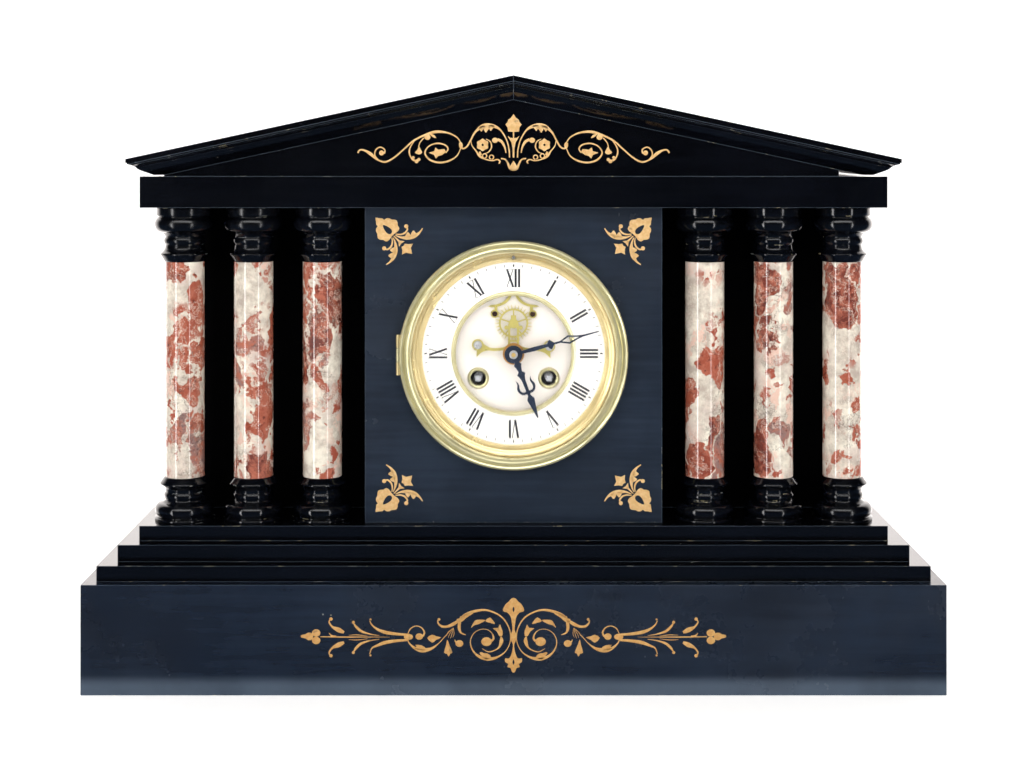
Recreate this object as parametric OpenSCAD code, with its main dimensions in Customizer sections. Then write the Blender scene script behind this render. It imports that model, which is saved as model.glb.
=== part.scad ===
// Slate and marble mantel clock in the form of a small temple, with a round pendulum movement.
// Millimetres. +X right, -Y front, +Z up. The origin is the middle of the plinth's underside.

/* [Case] */
// Width of the plinth
case_w = 510; // [480:1:640]
// Depth of the plinth
case_d = 190; // [175:1:240]
// Height of the plinth
plinth_h = 65; // [50:1:90]
// Thickness of the slate slabs
slab_t = 16; // [12:0.5:20]
// Height of the lower step
step_lower_h = 9.3; // [6:0.1:14]
// Height of the middle step
step_middle_h = 10; // [6:0.1:14]
// Height of the upper step
step_upper_h = 9; // [6:0.1:14]
// How far the lower step stands back from the plinth
step_lower_in = 7.5; // [4:0.1:9]
// How far the middle step stands back from the plinth
step_middle_in = 17.7; // [12:0.1:21]
// How far the upper step stands back from the plinth
step_upper_in = 28.3; // [24:0.1:32]
// How much each step stands back at the rear
step_back_in = 4; // [0:0.5:6]
// Height of the columned storey between the steps and the entablature
storey_h = 192.7; // [184:0.1:240]
// Height of the entablature slab
entablature_h = 19; // [14:0.5:26]
// Width of the front panel that holds the dial
panel_w = 181.6; // [170:0.1:220]
// How far the dial panel stands back from the plinth's front
panel_in = 38; // [34:0.5:44]
// How far the walls behind the columns stand back from the plinth's front
wing_in = 80; // [72:1:92]

/* [Columns] */
// Radius of the marble shafts
shaft_r = 12.1; // [9:0.1:15]
// How far the column axes stand back from the plinth's front
column_in = 49.5; // [48:0.5:54]
// Height of a turned base
base_h = 26.6; // [20:0.1:34]
// Height of a turned capital
capital_h = 33.8; // [26:0.1:42]

/* [Pediment] */
// Rise of the roof from its tips to its ridge
roof_rise = 50.4; // [40:0.5:64]
// Half the width of the roof across its tips
roof_half_w = 233.5; // [228:0.5:300]
// Upright thickness of the roof slabs
roof_v = 14.3; // [11:0.1:18]
// How far the roof's front edge stands back from the plinth's front
roof_in = 21; // [15:0.5:26]
// How far the roof's moulding projects in front of the tympanum
mould_d = 12; // [8:0.5:14]
// How far the roof's moulding projects at its outer ends
mould_end = 15; // [10:0.5:18]
// Height of the tips' lower edge above the entablature
roof_gap = 0.8; // [0.4:0.1:2]

/* [Dial] */
// Height of the dial's centre above the upper step
dial_up = 102.7; // [92:0.1:124]
// Outer radius of the glazed bezel
bezel_r = 69.8; // [69:0.1:76]
// Depth of the bezel
bezel_t = 7.6; // [6:0.1:10]
// Radius of the opening seen through the bezel
sight_r = 62.3; // [62:0.1:63]
// Outer radius of the visible enamel ring
enamel_r = 56; // [50:0.1:57]
// Inner radius of the enamel ring
enamel_in_r = 38.3; // [36:0.1:40]
// Width of the brass ring inside the enamel ring
inner_ring_w = 2.8; // [2:0.1:4]
// How far the recessed centre lies behind the dial panel's front
centre_in = 9; // [8:0.5:10]
// Thickness of the bezel's glass
glass_t = 1.6; // [1.2:0.1:2.4]
// Length of the minute hand
minute_len = 54; // [44:0.5:56]
// Length of the hour hand
hour_len = 41.7; // [34:0.1:44]
// Angle of the minute hand, clockwise from twelve
minute_at = 74.7; // [0:0.1:360]
// Angle of the hour hand, clockwise from twelve
hour_at = 159; // [0:0.1:360]

/* [Movement] */
// Radius of the movement's plates
plate_r = 47; // [47:0.5:52]
// Thickness of the movement's plates
plate_t = 2.5; // [2:0.1:3.5]
// Distance between the movement's plates
plate_gap = 36; // [36:0.5:44]
// Distance of the winding squares from the dial's upright centre line
winding_x = 21.8; // [20.5:0.1:22.5]
// Distance of the winding squares below the dial's centre
winding_down = 15.8; // [15:0.1:16.5]
// Radius of the spring barrels
barrel_r = 17; // [15:0.1:17.2]
// Height of the escape wheel above the dial's centre
escape_up = 18.4; // [18:0.1:19]
// Height of the anchor and of the pendulum's pivot above the dial's centre
pivot_up = 42; // [41:0.1:43]
// Length of the pendulum from its pivot to the middle of the bob
pendulum_len = 140; // [110:1:150]
// Radius of the pendulum bob
bob_r = 22; // [16:0.5:24]
// Radius of the bell
bell_r = 36; // [32:0.5:37]
// Side clearance of a pivot in its hole
pivot_fit = 0.05; // [0.03:0.01:0.09]

/* [Hidden] */
front = -case_d / 2;
body_z = plinth_h + step_lower_h + step_middle_h + step_upper_h;
storey_z = body_z + storey_h;
roof_z = storey_z + entablature_h;
body_back = case_d / 2 - 14;
body_x = case_w / 2 - 43;
entablature_x = case_w / 2 - step_upper_in - 0.2;
panel_y = front + panel_in;
wing_y = front + wing_in;

// columns: evenly spread from the dial panel's side to the end of the entablature
column_y = front + column_in;
column_in_x = panel_w / 2 + 27.4;
column_out_x = entablature_x - 23.3;
column_xs = [for (i = [0:2]) column_in_x + i * (column_out_x - column_in_x) / 2];
column_places = [for (side = [-1, 1], x = column_xs) side * x];

// pediment
roof_tan = roof_rise / roof_half_w;
roof_deg = atan(roof_tan);
ridge_z = roof_z + roof_gap + roof_half_w * roof_tan + 9.8;
tympanum_in = roof_in + mould_d;
// the edge moulding as [depth behind the lip, depth below the top], both as parts of one
MOULD = [[0, 0], [0, 0.24], [0.06, 0.24], [0.06, 0.32], [0.22, 0.37], [0.34, 0.47], [0.42, 0.6],
         [0.5, 0.68], [1, 1]];

// dial
dial_z = body_z + dial_up;
seat_r = sight_r + 2.7;
panel_hole_r = seat_r + 0.3;
flange_y = panel_y - 1.5;
bezel_back = flange_y - 0.4;
bezel_front = bezel_back - bezel_t;
glass_y = bezel_back - 0.9;
glass_rise = 4.6;
chapter_y = panel_y + 4;
enamel_t = 1.5;
centre_y = panel_y + centre_in;
centre_t = 1.2;
centre_r = 40;
hinge_x = -(bezel_r + 0.4);
hinge_y = bezel_back - 0.5;
hinge_r = 1.5;
hinge_pin_r = 0.6;
hinge_half = 12.4;
knuckle_half = 4.3;
hand_hub_r = 5.5;
minute_y = panel_y - 1.6;
hour_y = panel_y + 0.9;
hand_t = 0.7;

// regulator arbor, above twelve
regulator_up = enamel_r + 3.1;
regulator_r = 0.9;

// movement, front plate's inner face at mov_y
mov_y = panel_y + 21.5;
plate_front = mov_y - plate_t;
plate_back = mov_y + plate_gap;
plate_rear = plate_back + plate_t;
winding_l = [-winding_x, -winding_down];
winding_r = [winding_x, -winding_down];
centre = [0, 0];
escape = [0, escape_up];
anchor_at = [0, pivot_up];

// tooth counts and modules of the going train
GREAT_N = 80;
GREAT_M = 0.46;
SECOND_PIN_N = 12;
SECOND_N = 72;
SECOND_M = 0.36;
CENTRE_PIN_N = 9;
CENTRE_N = 84;
CENTRE_M = 0.30;
THIRD_PIN_N = 7;
THIRD_N = 80;
THIRD_M = 0.30;
ESCAPE_PIN_N = 6;
ESCAPE_N = 30;
// the strike train
STRIKE2_PIN_N = 12;
STRIKE2_N = 72;
PINWHEEL_PIN_N = 8;
PINWHEEL_N = 60;
PINWHEEL_M = 0.34;
LOCK_PIN_N = 6;
LOCK_N = 56;
LOCK_M = 0.30;
WARN_PIN_N = 7;
WARN_N = 48;
WARN_M = 0.28;
FLY_PIN_N = 6;
// the motion work behind the dial
CANNON_N = 12;
MINUTE_N = 36;
MINUTE_M = 0.50;
MINUTE_PIN_N = 10;
HOUR_N = 40;
HOUR_M = 0.48;

// centre distance of a meshed pair
function reach(a, b, m) = (a + b) * m / 2;
// point at a distance and angle from another
function polar(p, d, a) = p + d * [cos(a), sin(a)];
// where circles about p and q cross, on the left going from p to q if side is 1
function meet(p, rp, q, rq, side) =
    let (d = norm(q - p), u = (q - p) / d, a = (d * d + rp * rp - rq * rq) / (2 * d))
    p + a * u + side * sqrt(rp * rp - a * a) * [-u[1], u[0]];
function heading(p, q) = atan2(q[1] - p[1], q[0] - p[0]);
// angle of the second gear's first tooth, so that it sits in mesh with the first gear
function in_mesh(n1, turn1, p, q, n2) =
    let (a = heading(p, q)) a + 180 + ((a - turn1) * n1 / 360 + 0.5) * 360 / n2;

second_at = meet(winding_r, reach(GREAT_N, SECOND_PIN_N, GREAT_M),
                 centre, reach(SECOND_N, CENTRE_PIN_N, SECOND_M), -1);
third_at = meet(centre, reach(CENTRE_N, THIRD_PIN_N, CENTRE_M),
                escape, reach(THIRD_N, ESCAPE_PIN_N, THIRD_M), 1);
strike2_at = polar(winding_l, reach(GREAT_N, STRIKE2_PIN_N, GREAT_M), 100);
pinwheel_at = polar(strike2_at, reach(STRIKE2_N, PINWHEEL_PIN_N, SECOND_M), 95);
lock_at = polar(pinwheel_at, reach(PINWHEEL_N, LOCK_PIN_N, PINWHEEL_M), 30);
warn_at = polar(lock_at, reach(LOCK_N, WARN_PIN_N, LOCK_M), 20);
fly_at = polar(warn_at, reach(WARN_N, FLY_PIN_N, WARN_M), 120);
hammer_at = polar(pinwheel_at, 13.2, 200);
minute_at_p = [0, -reach(CANNON_N, MINUTE_N, MINUTE_M)];
pillar_places = [for (a = [30, 125, 250, 290]) polar(centre, 42.6, a)];
ear_angles = [42, 138, 222, 318];
strap_angles = [42, 222];
strap_r = 54;

// layers between the plates, as distances behind the front plate's inner face
great_s = [26, 28.5];
drum_s = [5.5, 25.8];

// pivots: radius in the plates and radius of the arbor between them
pivot_r = 0.6;
arbor_r = 0.9;
fine_pivot_r = 0.36;
fine_arbor_r = 0.52;
end_shake = 0.3;
winding_sq_r = 2.1;
winding_pivot_r = 2.0;

// strike work outside the back plate
bell_at = polar(hammer_at, 13.9, 68) + (bell_r + 3.5 + 0.5) * [cos(322), sin(322)];
hammer_head = polar(hammer_at, 13.9, 68);
bell_mouth = plate_rear + 21;
bell_h = 21;

// pendulum
pendulum_y = plate_rear + 10;
pivot_z = dial_z + pivot_up;
bob_z = pivot_z - pendulum_len;
bob_t = 8;
swing = 3.5;
well_x = bob_r + pendulum_len * sin(swing) + 6;
well_y = [pendulum_y - bob_t / 2 - 6, pendulum_y + bob_t / 2 + 6];

// rear opening
back_hole_r = 60;
back_ring_r = 66;
back_door_r = 63;
back_hinge_x = back_door_r + 2.4;
back_hinge_y = body_back + 2.8;

slate = [0.09, 0.11, 0.14];
brass = [0.80, 0.66, 0.34];
gilt = [0.86, 0.70, 0.38];
steel = [0.55, 0.57, 0.60];

// ---- helpers -------------------------------------------------------------

// a front-view outline, thick from y0 back to y1
module slab(y0, y1) {
    translate([0, y1, 0]) rotate([90, 0, 0]) linear_extrude(y1 - y0) children();
}

// round bar along Y
module rod(r, y0, y1) {
    translate([0, y1, 0]) rotate([90, 0, 0]) cylinder(r = r, h = y1 - y0, $fn = 48);
}

// turned about Y, from points [radius, y]
module turned(points) {
    rotate([90, 0, 0]) rotate_extrude($fn = 128) polygon([for (p = points) [p[0], -p[1]]]);
}

// moves to a point of the dial, given from its centre
module at_dial(p = [0, 0]) {
    translate([p[0], 0, dial_z + p[1]]) children();
}

module box(low, high) {
    translate(low) cube(high - low);
}

module both_sides() {
    children();
    mirror([1, 0, 0]) children();
}

// outline of a gear with straight-sided teeth
module teeth(n, m, turn = 0, add = 0.75, ded = 1.0, root = 0.27, tip = 0.10) {
    polygon([for (i = [0:n - 1], q = [[-root, -ded], [-tip, add], [tip, add], [root, -ded]])
        (n / 2 + q[1]) * m * [cos(turn + 360 * (i + q[0]) / n), sin(turn + 360 * (i + q[0]) / n)]]);
}

// windows between the spokes of a wheel
module crossings(rim_r, hub_r, count, spoke_w, turn = 0) {
    difference() {
        circle(r = rim_r, $fn = 64);
        circle(r = hub_r, $fn = 48);
        for (i = [0:count - 1]) rotate(turn + i * 360 / count)
            translate([0, -spoke_w / 2]) square([rim_r + 1, spoke_w]);
    }
}

// a crossed-out wheel
module wheel(n, m, y0, y1, turn = 0, hub_r = 3, count = 5, rim = 1.3) {
    slab(y0, y1) difference() {
        teeth(n, m, turn);
        crossings((n / 2 - 1) * m - rim, hub_r, count, 1.1, turn);
    }
}

module pinion(n, m, y0, y1, turn = 0) {
    slab(y0, y1) teeth(n, m, turn, add = 0.6, ded = 0.95, root = 0.24, tip = 0.10);
}

// a shaft between the plates with a pivot in each
module arbor(front_end = mov_y - 1.8, back_end = plate_back + 1.8) {
    rod(arbor_r, mov_y + end_shake, plate_back - end_shake);
    rod(pivot_r, front_end, back_end);
}

// thinner arbor for a pinion with few leaves, so that the wheel's teeth clear it
module fine_arbor() {
    rod(fine_arbor_r, mov_y + end_shake, plate_back - end_shake);
    rod(fine_pivot_r, mov_y - 1.8, plate_back + 1.8);
}

// hole for a pivot, through both faces of a plate
module pivot_hole(p, r) {
    translate(p) circle(r = r + pivot_fit, $fn = 32);
}

// ---- case ----------------------------------------------------------------

module plinth_front() {
    color(slate) box([-case_w / 2, front, 0], [case_w / 2, front + slab_t, plinth_h]);
}

module plinth_ends() {
    color(slate) both_sides()
        box([case_w / 2 - slab_t, front + slab_t, 0], [case_w / 2, -front - slab_t, plinth_h]);
}

module plinth_back() {
    color(slate) box([-case_w / 2, -front - slab_t, 0], [case_w / 2, -front, plinth_h]);
}

module plinth_base() {
    color(slate) box([slab_t - case_w / 2, front + slab_t, 0],
                     [case_w / 2 - slab_t, -front - slab_t, 10]);
}

// a step slab with the pendulum's well through it
module step(z0, z1, inset, level) {
    color(slate) difference() {
        box([inset - case_w / 2, front + inset, z0],
            [case_w / 2 - inset, -front - level * step_back_in, z1]);
        box([-well_x, well_y[0], z0 - 1], [well_x, well_y[1], z1 + 1]);
    }
}

module step_lower() {
    step(plinth_h, plinth_h + step_lower_h, step_lower_in, 1);
}

module step_middle() {
    step(plinth_h + step_lower_h, body_z - step_upper_h, step_middle_in, 2);
}

module step_upper() {
    step(body_z - step_upper_h, body_z, step_upper_in, 3);
}

module dial_panel() {
    color(slate) difference() {
        box([-panel_w / 2, panel_y, body_z], [panel_w / 2, panel_y + slab_t, storey_z]);
        at_dial() rod(panel_hole_r, panel_y - 1, panel_y + slab_t + 1);
    }
}

module dial_block_sides() {
    color(slate) both_sides() box([panel_w / 2 - slab_t, panel_y + slab_t, body_z],
                                  [panel_w / 2, wing_y, storey_z]);
}

module wing_walls() {
    color(slate) both_sides() {
        box([panel_w / 2 - slab_t, wing_y, body_z], [body_x, wing_y + slab_t, storey_z]);
        box([body_x - slab_t, wing_y + slab_t, body_z], [body_x, body_back - slab_t, storey_z]);
    }
}

module back_panel() {
    color(slate) difference() {
        box([-body_x, body_back - slab_t, body_z], [body_x, body_back, storey_z]);
        at_dial() rod(back_hole_r, body_back - slab_t - 1, body_back + 1);
    }
}

module entablature() {
    color(slate) box([-entablature_x, front + step_upper_in, storey_z],
                     [entablature_x, -front - 3 * step_back_in, roof_z]);
}

// height of the roof's underside at a distance from the middle
function under_roof(x) = ridge_z - roof_v - x * roof_tan;

// the left toe runs out to a thin edge, the right one stops short
module tympanum_outline() {
    left = -(ridge_z - roof_v - roof_z - roof_gap) / roof_tan;
    right = 198 / 233.5 * roof_half_w;
    polygon([[left, roof_z], [right, roof_z], [right, under_roof(right)], [0, under_roof(0)],
             [left, roof_z + roof_gap]]);
}

module tympana() {
    color(slate) {
        slab(front + tympanum_in, front + tympanum_in + slab_t) tympanum_outline();
        slab(body_back - slab_t, body_back) tympanum_outline();
    }
}

// right half of the roof: the front moulding run along the slope, cut to the end moulding
module roof_half() {
    tip_z = ridge_z - roof_rise;
    bottom = roof_z + roof_gap;
    front_run = concat([for (p = MOULD) [front + roof_in + p[0] * mould_d, -p[1] * roof_v * cos(roof_deg)]],
                       [[-front, -roof_v * cos(roof_deg)], [-front, 0]]);
    end_drop = tip_z - bottom;
    end_run = [for (p = MOULD) [roof_half_w - p[0] * mould_end, tip_z - p[1] * end_drop]];
    intersection() {
        translate([0, 0, ridge_z]) rotate([0, roof_deg, 0]) rotate([90, 0, 90])
            translate([0, 0, -30]) linear_extrude(roof_half_w + 60) polygon(front_run);
        slab(front, -front - 3 * step_back_in)
            polygon(concat([[0, ridge_z]], end_run,
                [[(ridge_z - roof_v - bottom) / roof_tan, bottom], [0, ridge_z - roof_v]]));
    }
}

module roof_left() {
    color(slate) mirror([1, 0, 0]) roof_half();
}

module roof_right() {
    color(slate) roof_half();
}

// ---- columns -------------------------------------------------------------

module on_columns() {
    for (x = column_places) translate([x, column_y, 0]) children();
}

// a half-round bead between two heights, as [radius, height] points
function bead(r, out, z0, z1) =
    [for (a = [-75:15:75]) [r + out * cos(a), (z0 + z1) / 2 + (z1 - z0) / 2 * sin(a)]];

// the turned base's outline: disc, torus, neck with a small bead, sharp flare under the shaft
BASE = concat([[0, 0], [18.2, 0], [18.2, 1.8], [17.2, 2.2]], bead(14.6, 3.5, 2.2, 10.6),
    [[13.4, 11], [11.9, 12.2]], bead(11.3, 1.3, 13, 17.2), [[11.9, 18], [12.1, 19.4], [13.2, 21],
    [15.1, 22.3], [15.1, 22.7], [12.3, 26.6], [0, 26.6]]);
// the capital has the same parts upside down, with a deeper neck and a thick disc on top
CAPITAL = concat([[0, 0], [16.8, 0], [17.2, 0.5], [17.2, 5.2], [16.4, 5.8]], bead(14.6, 3.7, 5.8, 15.4),
    [[13.6, 16], [12.2, 17.6]], bead(11.3, 1.4, 18.6, 23.2), [[11.9, 24.2], [12.1, 25.6], [13.2, 27.4],
    [14.9, 28.8], [14.9, 29.3], [12.3, 33.8], [0, 33.8]]);

module column_shafts() {
    color([0.62, 0.36, 0.30]) on_columns() translate([0, 0, body_z + base_h])
        cylinder(r = shaft_r, h = storey_h - base_h - capital_h, $fn = 64);
}

// scales a turned outline to the shaft and to its own height
function fitted(outline, native_h, h) = [for (p = outline)
    [p[0] == 0 ? 0 : p[0] + shaft_r - 12.1, p[1] * h / native_h]];

module column_bases() {
    color(slate) on_columns() translate([0, 0, body_z])
        rotate_extrude($fn = 64) polygon(fitted(BASE, 26.6, base_h));
}

module column_capitals() {
    color(slate) on_columns() translate([0, 0, storey_z]) mirror([0, 0, 1])
        rotate_extrude($fn = 64) polygon(fitted(CAPITAL, 33.8, capital_h));
}

// ---- dial and bezel --------------------------------------------------------

// hinge barrel about an upright axis
module knuckle(x, y, z, half, r) {
    translate([x, y, z - half]) cylinder(r = r, h = 2 * half, $fn = 32);
}

// the two fixed knuckles of a hinge, above and below the door's own
module fixed_knuckles(x, y, r) {
    for (side = [-1, 1])
        knuckle(x, y, dial_z + side * (knuckle_half + hinge_half) / 2,
                (hinge_half - knuckle_half) / 2 - 0.15, r);
}

module sight_ring() {
    s = enamel_r;
    color(gilt) difference() {
        union() {
            at_dial() turned([[seat_r, panel_y], [seat_r + 3.5, panel_y], [seat_r + 3.5, flange_y],
                [sight_r + 0.7, flange_y], [sight_r + 0.4, flange_y - 0.9], [sight_r - 0.3, flange_y - 0.9],
                [sight_r - 0.9, flange_y + 0.1], [s + 3.8, flange_y + 0.9], [s + 3.5, flange_y + 0.5],
                [s + 2.6, flange_y + 0.9], [s + 1.6, flange_y + 2.2], [s + 0.7, flange_y + 3.6],
                [s, chapter_y - 0.3], [s, chapter_y], [sight_r + 0.2, chapter_y],
                [sight_r + 0.2, plate_front], [seat_r, plate_front]]);
            fixed_knuckles(hinge_x, hinge_y, hinge_r);
            for (side = [-1, 1]) box(
                [hinge_x, flange_y - 0.15, dial_z + side * (knuckle_half + hinge_half) / 2 - 3.5],
                [hinge_x + 6, flange_y + 0.6, dial_z + side * (knuckle_half + hinge_half) / 2 + 3.5]);
        }
        knuckle(hinge_x, hinge_y, dial_z, hinge_half + 1, hinge_pin_r);
        at_dial([0, regulator_up]) rod(1.3, flange_y - 2, chapter_y + 1);
    }
}

module bezel() {
    r = bezel_r;
    f = bezel_front;
    i = sight_r;
    color(brass) difference() {
        union() {
            at_dial() turned([[r, bezel_back], [r, f + 3.2], [r - 0.3, f + 2], [r - 0.9, f + 1.2],
                [r - 1.6, f + 1], [r - 2.3, f + 1.4], [r - 2.8, f + 2.2], [r - 3.1, f + 2.2],
                [r - 3.5, f + 1.3], [r - 4.1, f + 0.4], [r - 4.9, f], [r - 5.7, f + 0.3],
                [i + 0.7, f + 1.5], [i, f + 3.2], [i, glass_y - glass_t - 0.1],
                [i + 1.5, glass_y - glass_t - 0.1], [i + 1.5, bezel_back]]);
            knuckle(hinge_x, hinge_y, dial_z, knuckle_half - 0.15, hinge_r);
        }
        knuckle(hinge_x, hinge_y, dial_z, knuckle_half + 1, hinge_pin_r + pivot_fit);
        for (side = [-1, 1])
            knuckle(hinge_x, hinge_y, dial_z + side * (knuckle_half + hinge_half) / 2,
                    (hinge_half - knuckle_half) / 2 + 0.4, hinge_r + 0.5);
    }
}

// domed glass: a flat rim that sits in the bezel and a shallow crown
module bezel_glass() {
    rim = sight_r + 1.4;
    edge = sight_r - 1.2;
    outer = [for (i = [0:12]) [edge * i / 12, glass_y - glass_t - glass_rise * (1 - pow(i / 12, 2))]];
    inner = [for (p = outer) [p[0], p[1] + glass_t]];
    color([0.85, 0.92, 0.95, 0.3]) at_dial() turned(concat(outer, [[rim, glass_y - glass_t],
        [rim, glass_y]], [for (i = [12:-1:0]) inner[i]]));
}

module bezel_hinge_pin() {
    color(brass) knuckle(hinge_x, hinge_y, dial_z, hinge_half, hinge_pin_r);
}

module chapter_ring() {
    color([0.99, 0.99, 0.96]) difference() {
        at_dial() turned([[enamel_in_r, chapter_y], [sight_r + 0.1, chapter_y],
            [sight_r + 0.1, chapter_y + enamel_t], [enamel_in_r, chapter_y + enamel_t]]);
        at_dial([0, regulator_up]) rod(1.3, chapter_y - 1, chapter_y + enamel_t + 1);
    }
}

module inner_ring() {
    r = enamel_in_r;
    w = inner_ring_w;
    color(brass) at_dial() turned([[r, chapter_y + enamel_t], [r, chapter_y - 0.3],
        [r - 0.4, chapter_y - 0.8], [r - 1.1, chapter_y - 1], [r - w + 0.4, chapter_y - 0.8],
        [r - w, chapter_y - 0.3], [r - w, chapter_y + enamel_t]]);
}

grommet_r = 6.7;
grommet_hole_r = 4.8;
cock_feet = [[-22, 5.2], [22, 4.4]];

module centre_dial() {
    color([0.95, 0.93, 0.90]) difference() {
        union() {
            at_dial() rod(centre_r, centre_y, centre_y + centre_t);
            for (a = [60, 180, 300]) at_dial(polar(centre, centre_r - 2, a))
                rod(1, centre_y + centre_t, plate_front);
        }
        at_dial() rod(4.2, centre_y - 1, centre_y + centre_t + 1);
        at_dial(escape) rod(1.8, centre_y - 1, centre_y + centre_t + 1);
        for (p = concat(cock_feet, [winding_l, winding_r]))
            at_dial(p) rod(p[1] < 0 ? grommet_hole_r + 0.7 : 1.5, centre_y - 1, centre_y + centre_t + 1);
    }
}

module winding_grommets() {
    h = grommet_hole_r;
    color(brass) for (p = [winding_l, winding_r]) at_dial(p)
        turned([[h, centre_y + centre_t], [h, centre_y - 0.8], [h + 0.6, centre_y - 1.1],
            [grommet_r - 0.6, centre_y - 0.6], [grommet_r, centre_y], [h + 0.7, centre_y],
            [h + 0.7, centre_y + centre_t]]);
}

// runs from a hole in the sight ring over the movement to the suspension's screw
module regulator_arbor() {
    color(steel) at_dial([0, regulator_up]) {
        rod(regulator_r, flange_y + 1.5, plate_rear + 5);
        rod(2.2, plate_rear + 2.8, plate_rear + 4.4);
        slab(flange_y + 0.5, flange_y + 2) square(1.1, center = true);
    }
}

// ---- movement frame --------------------------------------------------------

pivot_places = [second_at, strike2_at, pinwheel_at, hammer_at];
fine_pivot_places = [third_at, lock_at, warn_at, fly_at];

module plate_holes(at_front) {
    for (p = pivot_places) pivot_hole(p, pivot_r);
    for (p = fine_pivot_places) pivot_hole(p, fine_pivot_r);
    for (p = [winding_l, winding_r]) pivot_hole(p, winding_pivot_r);
    for (p = pillar_places) translate(p) circle(r = 1.6, $fn = 32);
    pivot_hole(centre, at_front ? arbor_r + 0.5 : pivot_r);
    translate(escape) circle(r = at_front ? 1.8 : fine_pivot_r + pivot_fit, $fn = 32);
    pivot_hole(anchor_at, arbor_r);
}

// the front plate has four arms that screw to the sight ring's sleeve
module front_plate() {
    color(brass) {
        at_dial() slab(plate_front, mov_y) difference() {
            union() {
                circle(r = plate_r, $fn = 128);
                for (a = ear_angles) rotate(a) translate([plate_r - 4, -6])
                    square([seat_r - plate_r + 3.5, 12]);
            }
            plate_holes(true);
        }
        at_dial(minute_at_p) rod(1.0, plate_front - 8.2, plate_front);
        for (p = [polar(winding_r, click_arm, click_turns[0]), polar(winding_l, click_arm, click_turns[1])])
            at_dial(p) {
                rod(1.0, ratchet_y[0] - 0.3, plate_front);
                rod(1.8, ratchet_y[0] - 1, ratchet_y[0] - 0.1);
            }
    }
}

module back_plate() {
    color(brass) at_dial() slab(plate_back, plate_rear) difference() {
        circle(r = plate_r, $fn = 128);
        plate_holes(false);
    }
}

module pillars() {
    color(brass) for (p = pillar_places) at_dial(p) {
        turned([[0, plate_front], [1.6, plate_front], [1.6, mov_y], [3.2, mov_y], [3.2, mov_y + 2.5],
            [2.4, mov_y + 4], [2.1, mov_y + plate_gap / 2 - 2], [2.7, mov_y + plate_gap / 2],
            [2.1, mov_y + plate_gap / 2 + 2], [2.4, plate_back - 4], [3.2, plate_back - 2.5],
            [3.2, plate_back], [1.6, plate_back], [1.6, plate_rear + 2.4], [0, plate_rear + 2.4]]);
        difference() {
            rod(2.9, plate_rear, plate_rear + 1.8);
            rod(1.6, plate_rear - 1, plate_rear + 3);
        }
    }
}

// ring round the rear opening, two straps to the front plate's arms, and their screws
module movement_straps() {
    inner = back_hole_r - 2.5;
    color(brass) {
        difference() {
            union() {
                at_dial() turned([[inner, body_back - slab_t], [back_hole_r - 0.4, body_back - slab_t],
                    [back_hole_r - 0.4, body_back], [back_ring_r, body_back],
                    [back_ring_r, body_back + 1.4], [inner, body_back + 1.4]]);
                for (a = strap_angles) at_dial(polar(centre, strap_r + 1, a))
                    rod(5, body_back - 4, body_back - 2);
            }
            for (a = strap_angles) at_dial(polar(centre, strap_r, a)) rod(1.6, body_back - 5, body_back);
        }
        difference() {
            fixed_back_knuckles();
            knuckle(back_hinge_x, back_hinge_y, dial_z, hinge_half + 1, hinge_pin_r);
        }
        knuckle(back_hinge_x, back_hinge_y, dial_z, hinge_half, hinge_pin_r);
        for (a = strap_angles) at_dial() rotate([0, -a, 0])
            box([strap_r - 1.2, mov_y, -5], [strap_r + 1.2, body_back - 4, 5]);
    }
    color(steel) for (a = strap_angles) at_dial(polar(centre, strap_r, a))
        turned([[0, body_back - 4], [1.6, body_back - 4], [1.6, body_back - 2], [3, body_back - 2],
            [3, body_back - 0.4], [0, body_back - 0.4]]);
}

module fixed_back_knuckles() {
    fixed_knuckles(back_hinge_x, back_hinge_y, 1.2);
    for (side = [-1, 1]) box(
        [back_ring_r - 2, body_back + 0.2, dial_z + side * (knuckle_half + hinge_half) / 2 - 3.5],
        [back_hinge_x, body_back + 1.9, dial_z + side * (knuckle_half + hinge_half) / 2 + 3.5]);
}

// ---- springs, barrels and winding ------------------------------------------

barrel_arbor_r = 4;
great_turn_going = in_mesh(SECOND_PIN_N, 0, second_at, winding_r, GREAT_N);

// hollow drum with a toothed rim at its rear end
module barrel(turn) {
    y = [mov_y + drum_s[0], mov_y + drum_s[1]];
    g = [mov_y + great_s[0], mov_y + great_s[1]];
    hole = barrel_arbor_r - 1.5 + pivot_fit;
    turned([[hole, y[0]], [barrel_r, y[0]], [barrel_r, g[0]], [barrel_r - 1, g[0]],
        [barrel_r - 1, y[0] + 1.2], [hole, y[0] + 1.2]]);
    slab(g[0], g[1]) difference() {
        teeth(GREAT_N, GREAT_M, turn);
        circle(r = hole, $fn = 48);
    }
}

// coiled strip between the arbor and the barrel's wall
module mainspring() {
    turns = 9;
    steps = 20;
    strip = 0.5;
    r0 = barrel_arbor_r + 0.5;
    r1 = barrel_r - 2;
    function coil(i, off) = let (k = i / (turns * steps), r = r0 + (r1 - r0) * k + off)
        r * [cos(360 * i / steps), sin(360 * i / steps)];
    slab(mov_y + drum_s[0] + 2, mov_y + great_s[0] - 1) polygon(concat(
        [for (i = [0:turns * steps]) coil(i, 0)], [for (i = [turns * steps:-1:0]) coil(i, strip)]));
}

RATCHET_N = 20;
ratchet_r = 7;
ratchet_y = [plate_front - 2.3, plate_front - 0.7];

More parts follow.
